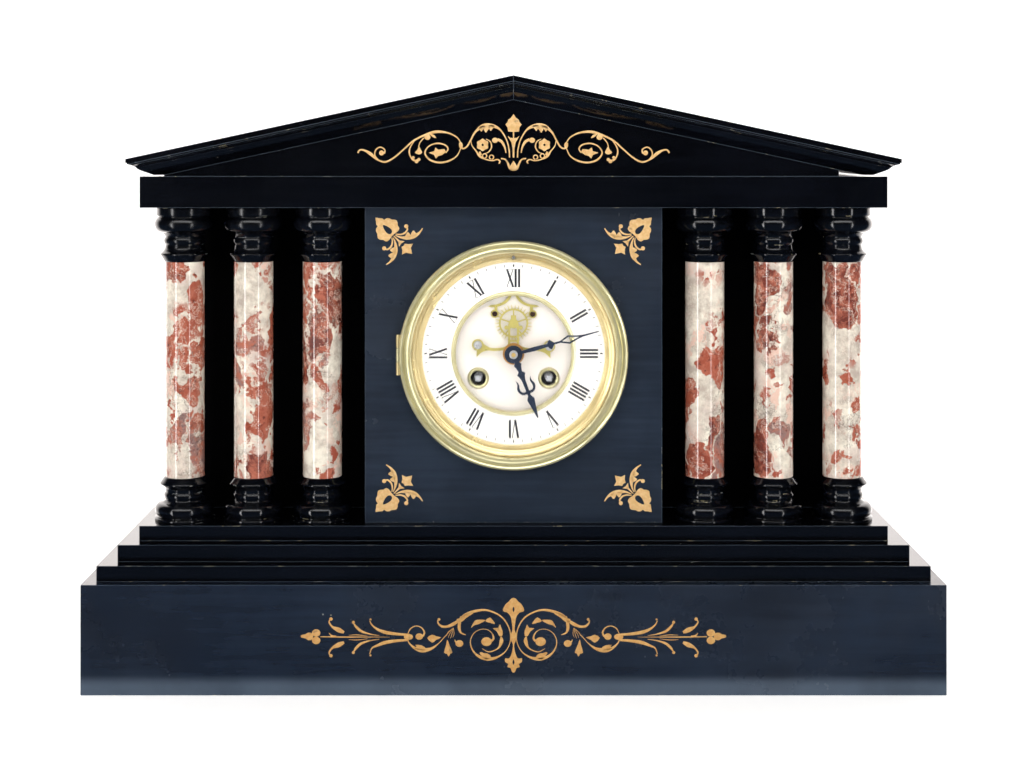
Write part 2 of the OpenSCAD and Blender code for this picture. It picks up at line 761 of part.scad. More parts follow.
// square for the key, ratchet in front of the plate, hub inside the barrel
module winding_arbor() {
    slab(centre_y - 1, ratchet_y[0]) square(winding_sq_r * 1.62, center = true);
    slab(ratchet_y[0], ratchet_y[1]) polygon([for (i = [0:RATCHET_N - 1], q = [[0, ratchet_r - 1.4],
        [0.87, ratchet_r], [0.95, ratchet_r - 1.4]])
        q[1] * [cos(360 * (i + q[0]) / RATCHET_N), sin(360 * (i + q[0]) / RATCHET_N)]]);
    rod(winding_pivot_r, ratchet_y[1], plate_rear + 0.8);
    rod(barrel_arbor_r - 1.5, mov_y + end_shake, plate_back - end_shake);
    rod(barrel_arbor_r, mov_y + drum_s[0] + 1.5, mov_y + great_s[0] - 0.3);
}

click_arm = 13;
click_turns = [-70, 250];

// pawl on its own screw, its tip just clear of the ratchet's teeth
module click(turn) {
    rotate([0, -turn, 0]) slab(ratchet_y[0] + 0.1, ratchet_y[1] - 0.1) difference() {
        union() {
            translate([click_arm, 0]) circle(r = 2.1, $fn = 32);
            polygon([[click_arm - 0.6, 1.4], [click_arm + 1.2, -1.5],
                (ratchet_r + 1.9) * [cos(42), -sin(42)], (ratchet_r + 0.25) * [cos(41), -sin(41)]]);
        }
        translate([click_arm, 0]) circle(r = 1 + pivot_fit, $fn = 32);
    }
}

module going_barrel() {
    color(brass) at_dial(winding_r) barrel(great_turn_going);
}

module strike_barrel() {
    color(brass) at_dial(winding_l) barrel(0);
}

module going_mainspring() {
    color(steel) at_dial(winding_r) mainspring();
}

module strike_mainspring() {
    color(steel) at_dial(winding_l) mainspring();
}

module going_winding_arbor() {
    color(steel) at_dial(winding_r) winding_arbor();
}

module strike_winding_arbor() {
    color(steel) at_dial(winding_l) winding_arbor();
}

module going_click() {
    color(steel) at_dial(winding_r) click(click_turns[0]);
}

module strike_click() {
    color(steel) at_dial(winding_l) click(click_turns[1]);
}

// ---- going train -----------------------------------------------------------

module second_wheel() {
    color(brass) at_dial(second_at) {
        pinion(SECOND_PIN_N, GREAT_M, mov_y + 25.5, mov_y + 29);
        wheel(SECOND_N, SECOND_M, mov_y + 31, mov_y + 32.2,
              in_mesh(CENTRE_PIN_N, 0, centre, second_at, SECOND_N));
        arbor();
    }
}

module centre_wheel() {
    color(brass) at_dial() {
        pinion(CENTRE_PIN_N, SECOND_M, mov_y + 30.6, mov_y + 33);
        wheel(CENTRE_N, CENTRE_M, mov_y + 2, mov_y + 3.2);
        arbor(front_end = mov_y - 1);
        difference() {
            rod(arbor_r + 0.45, minute_y - 2.4, mov_y + 1);
            taper_pin(0.42);
        }
    }
}

module third_wheel() {
    color(brass) at_dial(third_at) {
        pinion(THIRD_PIN_N, CENTRE_M, mov_y + 1, mov_y + 4.4,
               in_mesh(CENTRE_N, 0, centre, third_at, THIRD_PIN_N));
        wheel(THIRD_N, THIRD_M, mov_y + 29.2, mov_y + 30.3);
        fine_arbor();
    }
}

wheel_y = [centre_y - 2.9, centre_y - 2.1];
ESCAPE_TIP = 11.3;

// long fine teeth on a crossed-out wheel in front of the dial centre
module escape_outline() {
    difference() {
        polygon([for (i = [0:ESCAPE_N - 1], q = [[-0.14, 9.0], [0.02, ESCAPE_TIP], [0.12, ESCAPE_TIP],
            [0.16, 9.0]]) q[1] * [cos(360 * (i + q[0]) / ESCAPE_N), sin(360 * (i + q[0]) / ESCAPE_N)]]);
        crossings(7.9, 2.3, 5, 0.8, 18);
    }
}

cock_y = [centre_y - 4.9, centre_y - 3.7];

module escape_wheel() {
    color(gilt) at_dial(escape) {
        slab(wheel_y[0], wheel_y[1]) escape_outline();
        rod(fine_arbor_r, cock_y[1] + 0.25, plate_back - end_shake);
        rod(fine_pivot_r, cock_y[0] + 0.1, plate_back + 1.8);
        pinion(ESCAPE_PIN_N, THIRD_M, mov_y + 28.6, mov_y + 31,
               in_mesh(THIRD_N, 0, third_at, escape, ESCAPE_PIN_N));
    }
}

anchor_y = [centre_y - 1.5, centre_y - 0.5];
pallets = [[-11.6, 5.6], [11.8, 5.4]];

// points of a smooth bend through three points
function bend(a, b, c, n = 8) = [for (i = [0:n]) let (t = i / n)
    pow(1 - t, 2) * a + 2 * t * (1 - t) * b + t * t * c];

// arms of the anchor in front view, from its arbor down and outwards, from the escape wheel's centre
module anchor_outline() {
    top = pivot_up - escape_up;
    translate([0, top]) circle(r = 2.6, $fn = 48);
    polygon([[-2.4, top], [-2.2, 17.6], [2.2, 17.6], [2.4, top]]);
    for (side = [-1, 1]) scale([side, 1])
        polygon(concat(bend([0.9, 17.8], [2.9, 10.2], [13.2, 9.6]), [[16, 10.2]],
                       bend([13.6, 11], [5.2, 11.2], [2.4, 17.8])));
    for (p = pallets) {
        translate(p) circle(r = 2.5, $fn = 48);
        translate(p + [-0.8 * sign(p[0]) - 0.9, 0]) square([1.8, 4.8]);
    }
}

// half-round stone with its flat towards the escape wheel
module pallet_stone(p) {
    slab(wheel_y[0] - 0.5, anchor_y[1]) translate(p) rotate(heading([0, 0], p))
        intersection() {
            circle(r = 1.5, $fn = 32);
            translate([0, -2]) square([2, 4]);
        }
}

module anchor() {
    color(gilt) {
        at_dial(escape) slab(anchor_y[0], anchor_y[1]) difference() {
            anchor_outline();
            for (p = pallets) translate(p) rotate(heading([0, 0], p)) intersection() {
                circle(r = 1.5, $fn = 32);
                translate([0, -2]) square([2, 4]);
            }
        }
        at_dial(anchor_at) {
            rod(arbor_r, anchor_y[0] - 0.4, plate_rear + 6.5);
            rod(1.8, plate_rear + 3.5, plate_rear + 6);
        }
        crutch();
    }
    color([0.25, 0.08, 0.08]) for (p = pallets) at_dial(escape) pallet_stone(p);
}

// bent wire down the back plate, with a fork round the pendulum rod
module crutch() {
    y = plate_rear + 4;
    low = dial_z + 8;
    box([-0.9, y, low - 2], [0.9, y + 1.4, pivot_z]);
    box([-3.2, y, low - 2], [3.2, y + 1.4, low + 2]);
    for (side = [-1, 1]) translate([side * 2.4, 0, 0])
        box([-0.6, y, low - 1], [0.6, pendulum_y + 2.5, low + 1]);
}

// bridge with two screwed feet and two rods up to the escape wheel's front bearing
module cock_outline() {
    foot = cock_feet;
    e = escape;
    difference() {
        union() {
            translate(e) circle(r = 3, $fn = 48);
            translate(e + [-1.6, 2]) square([3.2, 3]);
            for (side = [-1, 1]) {
                translate(e + [side * 4.4, -2.6]) circle(r = 1.3, $fn = 32);
                translate(e + [side * 2.7 - 0.65, -13]) square([1.3, 12.5]);
            }
            translate(e + [-3.2, -11.2]) square([6.4, 0.9]);
            for (f = foot) {
                side = sign(f[0]);
                translate(f) circle(r = 3.6, $fn = 48);
                polygon(concat(
                    bend([side * 3.35, e[1] - 12.6], [side * 4.6, 3.2], [side * 12, 3.2]),
                    bend([side * 12, 3.2], [side * 16, 3], f + [-side * 0.6, 3.5]),
                    [f + [side * 0.6, 0], f + [side * 0.7, -7.4]],
                    bend(f + [-side * 0.3, -6.4], f + [-side * 3.4, -2.6], [side * 13, 1.6]),
                    bend([side * 13, 1.6], [side * 3.2, 1], [side * 2.05, e[1] - 12.6])));
            }
        }
        translate(e) circle(r = fine_pivot_r + pivot_fit, $fn = 32);
    }
}

module escapement_cock() {
    color(gilt) at_dial() slab(cock_y[0], cock_y[1]) cock_outline();
    color(steel) for (f = cock_feet) at_dial(f) {
        rod(1.4, cock_y[1], plate_front);
        difference() {
            turned([[0, cock_y[0] - 1], [2.2, cock_y[0] - 1], [2.6, cock_y[0] - 0.6], [2.6, cock_y[0]],
                [0, cock_y[0]]]);
            rotate([0, 4, 0]) box([-3, cock_y[0] - 2, -0.25], [3, cock_y[0] - 0.5, 0.25]);
        }
    }
}

// ---- hands and motion work -------------------------------------------------

// half of the minute hand from its hub outwards, as [along, across]
MINUTE_HALF = [[4, 0.75], [8, 1.05], [13, 1.3], [19.5, 1.05], [21.6, 0.9], [22.4, 2.4], [23.6, 3],
    [24.6, 1.7], [25.8, 0.6], [29.6, 0.55], [35, 2.7], [40.6, 1.1], [44, 0.55], [54, 0.3]];
HOUR_HALF = [[4, 1.2], [5.6, 1.3], [7.2, 2.5], [8.4, 1.8], [11.6, 1.05], [13.2, 2.7], [14.4, 1.9],
    [17, 1.15], [23.6, 0.95], [25.4, 1.2], [26.8, 0.8], [29.6, 2.35], [33, 1.75], [41.7, 0.35]];

// mirrors a half outline about the hand's middle line and stretches it to its length
module hand_blade(half, length) {
    k = length / half[len(half) - 1][0];
    polygon(concat([for (p = half) [p[1], p[0] * k]],
                   [for (i = [len(half) - 1:-1:0]) [-half[i][1], half[i][0] * k]]));
}

cannon_r = 2.3;
pipe_r = 3.2;

// cross pin that holds the hands on the centre arbor
module taper_pin(r) {
    rotate([0, -45, 0]) translate([-5, minute_y - 1.4, 0]) rotate([0, 90, 0])
        cylinder(r = r, h = 10.2, $fn = 16);
}

module minute_hand() {
    k = minute_len / 54;
    at_dial() {
        difference() {
            union() {
                color([0.12, 0.16, 0.24]) slab(minute_y, minute_y + hand_t) rotate(-minute_at)
                    difference() {
                        union() {
                            hand_blade(MINUTE_HALF, minute_len);
                            circle(r = hand_hub_r, $fn = 64);
                        }
                        polygon([[0, 30.6 * k], [1.6, 35 * k], [0, 41.6 * k], [-1.6, 35 * k]]);
                    }
                color(brass) {
                    slab(plate_front - 3.4, plate_front - 1.2)
                        teeth(CANNON_N, MINUTE_M, 0, add = 0.6, ded = 0.95, root = 0.24, tip = 0.10);
                    rod(cannon_r, minute_y + hand_t, plate_front - 3.4);
                }
                color(steel) turned([[0, minute_y], [2.6, minute_y], [2.6, minute_y - 0.7],
                    [2.2, minute_y - 1], [0, minute_y - 1]]);
            }
            rod(arbor_r + 0.5, minute_y - 2, plate_front);
        }
        color(steel) taper_pin(0.35);
    }
}

// one prong of the hour hand's trident, curling back towards the hub
module prong(k) {
    polygon(concat(bend([0, 24 * k], [3.4, 25 * k], [4.1, 22.6 * k]),
        bend([4.1, 22.6 * k], [4.3, 20.8 * k], [3.7, 19.6 * k]),
        bend([3.7, 19.6 * k], [3.4, 17.6 * k], [4.9, 16 * k]),
        bend([4.6, 17.6 * k], [4.6, 18.8 * k], [5.2, 19.8 * k]),
        bend([5.2, 19.8 * k], [6.3, 21.6 * k], [5.3, 23.6 * k]),
        bend([5.3, 23.6 * k], [4, 26.6 * k], [0, 25.8 * k])));
}

hour_turn = in_mesh(MINUTE_PIN_N, 0, minute_at_p, centre, HOUR_N);

module hour_hand() {
    k = hour_len / 41.7;
    inner = cannon_r + 0.1;
    at_dial() {
        color([0.12, 0.16, 0.24]) slab(hour_y, hour_y + hand_t) rotate(-hour_at) difference() {
            union() {
                hand_blade(HOUR_HALF, hour_len);
                circle(r = hand_hub_r - 0.3, $fn = 64);
                prong(k);
                mirror([1, 0]) prong(k);
            }
            circle(r = pipe_r, $fn = 48);
        }
        color(brass) {
            turned([[inner, hour_y - 0.6], [pipe_r, hour_y - 0.6], [pipe_r, hour_y + hand_t + 0.2],
                [6.6, hour_y + hand_t + 0.2], [6.6, hour_y + hand_t + 1.6], [pipe_r, hour_y + hand_t + 1.6],
                [pipe_r, plate_front - 5.6], [inner, plate_front - 5.6]]);
            slab(plate_front - 6.2, plate_front - 5.0) difference() {
                teeth(HOUR_N, HOUR_M, hour_turn);
                crossings((HOUR_N / 2 - 1) * HOUR_M - 1.3, 4.4, 4, 1.3);
                circle(r = inner, $fn = 48);
            }
        }
    }
}

module minute_wheel() {
    turn = in_mesh(CANNON_N, 0, centre, minute_at_p, MINUTE_N);
    color(brass) at_dial(minute_at_p) difference() {
        union() {
            wheel(MINUTE_N, MINUTE_M, plate_front - 2.9, plate_front - 1.7, turn, 3.4);
            pinion(MINUTE_PIN_N, HOUR_M, plate_front - 6.8, plate_front - 2.9);
        }
        rod(1 + pivot_fit, plate_front - 9, plate_front);
    }
}

// ---- strike train ----------------------------------------------------------

// also carries the notched count wheel behind the back plate
module strike_second_wheel() {
    color(brass) at_dial(strike2_at) {
        pinion(STRIKE2_PIN_N, GREAT_M, mov_y + 25.5, mov_y + 29,
               in_mesh(GREAT_N, 0, winding_l, strike2_at, STRIKE2_PIN_N));
        wheel(STRIKE2_N, SECOND_M, mov_y + 31, mov_y + 32.2);
        arbor(back_end = plate_rear + 2.2);
        slab(plate_rear + 0.9, plate_rear + 2) difference() {
            circle(r = 9, $fn = 96);
            for (i = [0:11]) rotate(i * (i + 3) / 2 * 360 / 90) translate([8, -0.4]) square([2, 0.8]);
        }
    }
}

module pin_wheel() {
    color(brass) at_dial(pinwheel_at) {
        pinion(PINWHEEL_PIN_N, SECOND_M, mov_y + 30.6, mov_y + 33,
               in_mesh(STRIKE2_N, 0, strike2_at, pinwheel_at, PINWHEEL_PIN_N));
        wheel(PINWHEEL_N, PINWHEEL_M, mov_y + 22, mov_y + 23.2, rim = 2.8);
        for (i = [0:9]) rotate([0, -36 * i, 0]) translate([8, 0, 0]) rod(0.5, mov_y + 18.5, mov_y + 22.6);
        arbor();
    }
}

module locking_wheel() {
    color(brass) at_dial(lock_at) {
        pinion(LOCK_PIN_N, PINWHEEL_M, mov_y + 20.8, mov_y + 24,
               in_mesh(PINWHEEL_N, 0, pinwheel_at, lock_at, LOCK_PIN_N));
        wheel(LOCK_N, LOCK_M, mov_y + 16, mov_y + 17);
        fine_arbor();
    }
}

module warning_wheel() {
    color(brass) at_dial(warn_at) {
        pinion(WARN_PIN_N, LOCK_M, mov_y + 15, mov_y + 18,
               in_mesh(LOCK_N, 0, lock_at, warn_at, WARN_PIN_N));
        wheel(WARN_N, WARN_M, mov_y + 10, mov_y + 11, hub_r = 2);
        fine_arbor();
    }
}

module fly() {
    color(brass) at_dial(fly_at) {
        pinion(FLY_PIN_N, WARN_M, mov_y + 9, mov_y + 12,
               in_mesh(WARN_N, 0, warn_at, fly_at, FLY_PIN_N));
        box([-6, mov_y + 19, -0.25], [6, mov_y + 32, 0.25]);
        rod(1.2, mov_y + 19, mov_y + 32);
        fine_arbor();
    }
}

// arbor with a tail beside the pin wheel, and an arm with the head behind the back plate
module hammer() {
    arm = heading(hammer_at, hammer_head);
    head_y = bell_mouth + 3;
    color(steel) {
        at_dial(hammer_at) {
            arbor(back_end = plate_rear + 7);
            rotate([0, -20, 0]) box([0, mov_y + 19, -0.6], [4.1, mov_y + 21, 0.6]);
            rod(1.8, plate_rear + 4, plate_rear + 6.5);
            rotate([0, -arm, 0]) box([0, plate_rear + 4.4, -0.8], [13.9, plate_rear + 6, 0.8]);
        }
        at_dial(hammer_head) rod(0.8, plate_rear + 4.4, head_y);
    }
    color(brass) at_dial(hammer_head) rod(3.5, head_y - 2.5, head_y + 3);
}

// cup of the bell, its mouth towards the back plate
module bell() {
    wall = 1.6;
    n = 10;
    function dome(r, h) = [for (i = [0:n]) [r * cos(80 * i / n), h * sin(80 * i / n) / sin(80)]];
    outer = dome(bell_r, bell_h);
    inner = dome(bell_r - wall, bell_h - wall);
    color([0.62, 0.58, 0.5]) at_dial(bell_at) turned(concat(
        [for (p = outer) [p[0], bell_mouth + p[1]]],
        [[2, bell_mouth + bell_h], [2, bell_mouth + bell_h - wall]],
        [for (i = [n:-1:0]) [inner[i][0], bell_mouth + inner[i][1]]]));
}

stand_foot = [14, -29];

// post from the back plate up to the middle of the bell
module bell_stand() {
    top = bell_mouth + bell_h;
    y = bell_mouth - 2;
    color(brass) {
        at_dial(stand_foot) {
            rod(4, plate_rear, plate_rear + 2);
            rod(1.8, plate_rear + 1, y);
            rotate([0, -heading(stand_foot, bell_at), 0])
                box([-1.8, y - 2.4, -1.8], [norm(bell_at - stand_foot) + 2.5, y, 1.8]);
        }
        at_dial(bell_at) {
            rod(2.4, y - 2, top - 1.6);
            rod(1.9, top - 2.6, top + 1.2);
            rod(3.4, top, top + 1.6);
        }
    }
}

// ---- pendulum --------------------------------------------------------------

// bracket on the back plate that clamps the suspension spring's upper end
module suspension_cock() {
    y1 = pendulum_y + 5;
    top = dial_z + regulator_up;
    color(brass) difference() {
        union() {
            box([-8, plate_rear, pivot_z - 2.5], [8, plate_rear + 2.5, pivot_z + 9]);
            box([-3.5, plate_rear, pivot_z + 5], [3.5, plate_rear + 2.5, top]);
            box([-3, plate_rear + 2.5, pivot_z + 5], [3, y1, pivot_z + 9]);
            box([-4, pendulum_y - 3.5, pivot_z + 1.6], [4, y1, pivot_z + 9]);
            at_dial([0, regulator_up]) rod(3.5, plate_rear, plate_rear + 2.5);
        }
        at_dial([0, regulator_up]) rod(regulator_r + pivot_fit, plate_rear - 1, plate_rear + 3);
        at_dial(anchor_at) rod(2.4, plate_rear - 1, plate_rear + 3);
    }
}

// spring strip, hook, rod and the threaded end with its rating nut
module pendulum_rod() {
    color(steel) {
        box([-0.15, pendulum_y - 2.5, pivot_z - 9], [0.15, pendulum_y + 2.5, pivot_z + 1.3]);
        box([-2.5, pendulum_y - 3, pivot_z - 13], [2.5, pendulum_y + 3, pivot_z - 9]);
    }
    color(brass) translate([0, pendulum_y, 0]) {
        translate([0, 0, bob_z - bob_r - 8]) cylinder(r = 1.5, h = pendulum_len + bob_r - 5, $fn = 32);
        translate([0, 0, bob_z - bob_r - 5]) cylinder(r = 4.5, h = 3.2, $fn = 48);
    }
}

module pendulum_bob() {
    t = bob_t / 2;
    color(brass) difference() {
        translate([0, pendulum_y, bob_z]) turned([[0, -t], [bob_r * 0.55, -t * 0.92],
            [bob_r * 0.85, -t * 0.55], [bob_r, -0.8], [bob_r, 0.8], [bob_r * 0.85, t * 0.55],
            [bob_r * 0.55, t * 0.92], [0, t]]);
        translate([0, pendulum_y, bob_z - bob_r - 1]) cylinder(r = 1.5, h = 2 * bob_r + 2, $fn = 32);
    }
}

// ---- back door -------------------------------------------------------------

// round plate pierced with slots that let the bell be heard, with a small turned knob
module back_door() {
    y0 = body_back + 1.8;
    y1 = y0 + 1.2;
    color(brass) {
        difference() {
            union() {
                at_dial() rod(back_door_r, y0, y1);
                knuckle(back_hinge_x, back_hinge_y, dial_z, knuckle_half - 0.15, 1.2);
                box([back_door_r - 3, y0, dial_z - knuckle_half + 0.4],
                    [back_hinge_x, y1, dial_z + knuckle_half - 0.4]);
            }
            knuckle(back_hinge_x, back_hinge_y, dial_z, knuckle_half + 1, hinge_pin_r + pivot_fit);
            for (a = [0:30:330]) at_dial() rotate([0, -a, 0]) {
                box([26, y0 - 1, -2], [46, y1 + 1, 2]);
                translate([46, 0, 0]) rod(2, y0 - 1, y1 + 1);
                translate([26, 0, 0]) rod(2, y0 - 1, y1 + 1);
            }
        }
        at_dial([6 - back_door_r, 0]) turned([[0, y1], [1.4, y1], [1.4, y1 + 2], [2.8, y1 + 3],
            [3, y1 + 4.4], [2, y1 + 5.6], [0, y1 + 6]]);
    }
}

// ---- selection -------------------------------------------------------------

plinth_front();
plinth_ends();
plinth_back();
plinth_base();
step_lower();
step_middle();
step_upper();
dial_panel();
dial_block_sides();
wing_walls();
back_panel();
entablature();
tympana();
roof_left();
roof_right();
column_shafts();
column_capitals();
column_bases();
sight_ring();
bezel();
bezel_glass();
bezel_hinge_pin();
chapter_ring();
inner_ring();
centre_dial();
winding_grommets();
regulator_arbor();
front_plate();
back_plate();
pillars();
movement_straps();
going_barrel();
going_mainspring();
going_winding_arbor();
going_click();
second_wheel();
centre_wheel();
third_wheel();
escape_wheel();
anchor();
escapement_cock();
minute_hand();
hour_hand();
minute_wheel();
strike_barrel();
strike_mainspring();
strike_winding_arbor();
strike_click();
strike_second_wheel();
pin_wheel();
locking_wheel();
warning_wheel();
fly();
hammer();
bell();
bell_stand();
suspension_cock();
pendulum_rod();
pendulum_bob();
back_door();
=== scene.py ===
import math

import bmesh
import bpy
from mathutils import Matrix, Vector


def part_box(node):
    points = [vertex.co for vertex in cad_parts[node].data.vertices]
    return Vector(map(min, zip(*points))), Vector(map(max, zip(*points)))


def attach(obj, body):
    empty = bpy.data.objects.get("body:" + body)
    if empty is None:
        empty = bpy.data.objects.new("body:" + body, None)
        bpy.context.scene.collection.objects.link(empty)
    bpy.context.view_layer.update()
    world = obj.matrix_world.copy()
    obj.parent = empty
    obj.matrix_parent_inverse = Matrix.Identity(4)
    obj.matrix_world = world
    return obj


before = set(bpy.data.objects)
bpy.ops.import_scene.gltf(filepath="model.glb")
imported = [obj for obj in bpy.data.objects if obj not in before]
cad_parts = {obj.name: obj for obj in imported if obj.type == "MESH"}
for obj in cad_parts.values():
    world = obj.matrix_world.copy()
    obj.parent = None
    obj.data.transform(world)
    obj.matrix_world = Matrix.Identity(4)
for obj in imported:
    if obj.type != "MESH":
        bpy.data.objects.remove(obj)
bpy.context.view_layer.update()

MM = 0.001
FIVE_MINUTES = math.radians(30)

# where the camera stands, in metres from the plinth's front face, and how it looks
CAMERA_BEFORE = 0.983
CAMERA_HEIGHT = 0.326
LENS = 58.7
SHIFT = (-0.0015, -0.239)

# dial markings, in millimetres from the dial's centre
NUMERAL_IN = 40.8
NUMERAL_OUT = 51.8
NUMERALS = ["XII", "I", "II", "III", "IIII", "V", "VI", "VII", "VIII", "IX", "X", "XI"]
THICK = 1.35
THIN = 0.5
TICK_IN = 53.1
TICK_OUT = 54.7
HOUR_TICK = 0.85
MINUTE_TICK = 0.38
PAINT = 0.03

# height of the gilding over the stone
GILT = 0.14

# heights between which the dull band along the plinth's foot fades in, in metres
HAZE_TOP = 0.013
HAZE_FULL = 0.005

# depths (y) behind which each hand's hub is brass, depth of the minute hand's front face, and the radius of
# the steel collar before it, in metres
MINUTE_BACK = -0.0579
HOUR_BACK = -0.0554
HUB_FRONT = -0.0586
WASHER = 0.0027

# screw heads on the escapement's bridge, pallet stones and winding squares, in metres from the dial's centre
BRIDGE_SCREWS = [(-0.022, 0.0052), (0.022, 0.0044)]
STONES = [(-0.0116, 0.0240), (0.0118, 0.0238)]
SCREW = 0.0027
STONE = 0.0017
WINDING = [(-0.0218, -0.0158), (0.0218, -0.0158)]
WINDING_SQUARE = 0.0026

# depth (y) of the winding arbors' part that shows through the dial, in metres
WINDING_SHOWS = -0.038

# share of bare metal under the lacquer, and the glow that keeps the paper floor white
LACQUERED = 0.62
PAPER_GLOW = 0.44

# where the world turns navy below the horizon and bright behind the clock, as parts of a direction
BELOW = (-0.045, -0.06)
BEHIND = (0.25, 0.6)

dial_low, dial_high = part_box("chapter_ring")
DIAL = (dial_low + dial_high) / 2
PLINTH_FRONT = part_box("plinth_front")[0].y
PANEL_LOW, PANEL_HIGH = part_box("dial_panel")
TYMPANUM_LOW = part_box("tympana")[0]


# ---- shader nodes ----------------------------------------------------------

class Shader:
    """A material under construction: add() makes a node and returns its first output."""

    def __init__(self, name):
        self.material = bpy.data.materials.new(name)
        self.material.use_nodes = True
        self.tree = self.material.node_tree
        self.surface = self.tree.nodes["Principled BSDF"]
        self.place = self.tree.nodes.new("ShaderNodeTexCoord").outputs["Object"]

    def set_inputs(self, node, inputs):
        for key, value in inputs.items():
            if isinstance(value, bpy.types.NodeSocket):
                self.tree.links.new(value, node.inputs[key])
            else:
                node.inputs[key].default_value = value

    def add(self, kind, inputs=None, out=0, **settings):
        node = self.tree.nodes.new("ShaderNode" + kind)
        for key, value in settings.items():
            setattr(node, key, value)
        self.set_inputs(node, inputs or {})
        return node.outputs[out]

    def math(self, operation, a, b=0.0):
        return self.add("Math", {0: a, 1: b}, operation=operation)

    def stretched(self, scale):
        return self.add("Mapping", {"Vector": self.place, "Scale": scale})

    def noise(self, scale, detail=4.0, rough=0.55, vector=None):
        return self.add("TexNoise", {"Vector": vector or self.place, "Scale": scale,
                                     "Detail": detail, "Roughness": rough})

    def ramp(self, value, low, high, start=0.0, end=1.0):
        """Maps low..high to start..end, smoothly."""
        return self.add("MapRange", {"Value": value, "From Min": low, "From Max": high,
                                     "To Min": start, "To Max": end}, interpolation_type="SMOOTHSTEP")

    def blend(self, factor, a, b):
        node = self.tree.nodes.new("ShaderNodeMix")
        node.data_type = "RGBA"
        self.set_inputs(node, {0: factor, 6: a, 7: b})
        return node.outputs[2]

    def bump(self, height, strength, distance=MM, rounding=0.0):
        """Relief from a height, laid over edges that are rounded off when rounding is given."""
        inputs = {"Height": height, "Strength": strength, "Distance": distance}
        if rounding:
            inputs["Normal"] = self.add("Bevel", {"Radius": rounding}, samples=8)
        return self.add("Bump", inputs)

    def edges(self, radius):
        """1 on sharp edges, 0 on open faces."""
        rounded = self.add("Bevel", {"Radius": radius}, samples=4)
        true = self.add("NewGeometry", out=1)
        likeness = self.tree.nodes.new("ShaderNodeVectorMath")
        likeness.operation = "DOT_PRODUCT"
        self.set_inputs(likeness, {0: rounded, 1: true})
        return self.ramp(likeness.outputs["Value"], 0.995, 0.9)

    def finish(self, **inputs):
        self.set_inputs(self.surface, {key.replace("_", " "): value for key, value in inputs.items()})
        return self.material


def rgb(red, green, blue):
    """An sRGB colour given in 0..255 as linear values."""
    linear = [((c / 255 + 0.055) / 1.055) ** 2.4 if c > 10 else c / 255 / 12.92 for c in (red, green, blue)]
    return (*linear, 1.0)


OLIVE = rgb(206, 194, 112)
STEEL_WHITE = rgb(206, 208, 212)
# near-black painted shade for the arbors inside the winding holes
PAINTED_HOLE_SHADE = rgb(20, 20, 22)


# ---- materials -------------------------------------------------------------

def slate(name, gloss=0.08, dark=rgb(3, 4, 7), light=rgb(7, 9, 15), shine=0.5, haze=0.0, rounding=0.0):
    """Polished black stone: faint blue clouding, fine streaks, chipped edges and a painted highlight line
    along its sharp edges; haze dulls its foot.
    """
    s = Shader(name)
    clouds = s.noise(14, 5)
    streaks = s.noise(1, 6, vector=s.stretched((18, 90, 260)))
    tone = s.math("ADD", s.math("MULTIPLY", clouds, 0.65), s.math("MULTIPLY", streaks, 0.35))
    stone = s.blend(s.ramp(tone, 0.35, 0.68), dark, light)
    if haze:
        height = s.add("SeparateXYZ", {"Vector": s.place}, out=2)
        foot = s.math("MULTIPLY", s.ramp(height, HAZE_TOP, HAZE_FULL), s.ramp(clouds, 0.2, 0.6, 0.6, 1.0))
        stone = s.blend(s.math("MULTIPLY", foot, haze), stone, rgb(84, 97, 112))
    edge = s.edges(0.5 * MM)
    bite = s.ramp(s.noise(95, 3, 0.7), 0.60, 0.64)
    pits = s.add("TexVoronoi", {"Vector": s.place, "Scale": 190.0})
    rare = s.ramp(s.noise(33, 2), 0.69, 0.72)
    speck = s.math("MULTIPLY", s.ramp(pits, 0.12, 0.08), rare)
    worn = s.math("MAXIMUM", s.math("MULTIPLY", edge, bite), s.math("MULTIPLY", speck, 0.5))
    # painted highlight: a pale blue-grey line along every sharp edge, left out where the edges are rounded
    # off and catch real highlights
    stone_with_edge_highlight = s.blend(s.math("MULTIPLY", edge, 0.0 if rounding else 0.5), stone, rgb(104, 116, 130))
    chip = s.blend(s.ramp(s.noise(60), 0.45, 0.6), rgb(128, 132, 130), rgb(196, 184, 140))
    smear = s.ramp(s.noise(9, 6, 0.7), 0.42, 0.66, gloss, gloss + 0.10)
    rough = s.math("ADD", smear, s.math("MULTIPLY", worn, 0.5))
    return s.finish(Base_Color=s.blend(worn, stone_with_edge_highlight, chip), Roughness=rough, Specular_IOR_Level=shine,
                    Normal=s.bump(s.math("SUBTRACT", s.noise(520, 3), worn), 0.03, rounding=rounding))


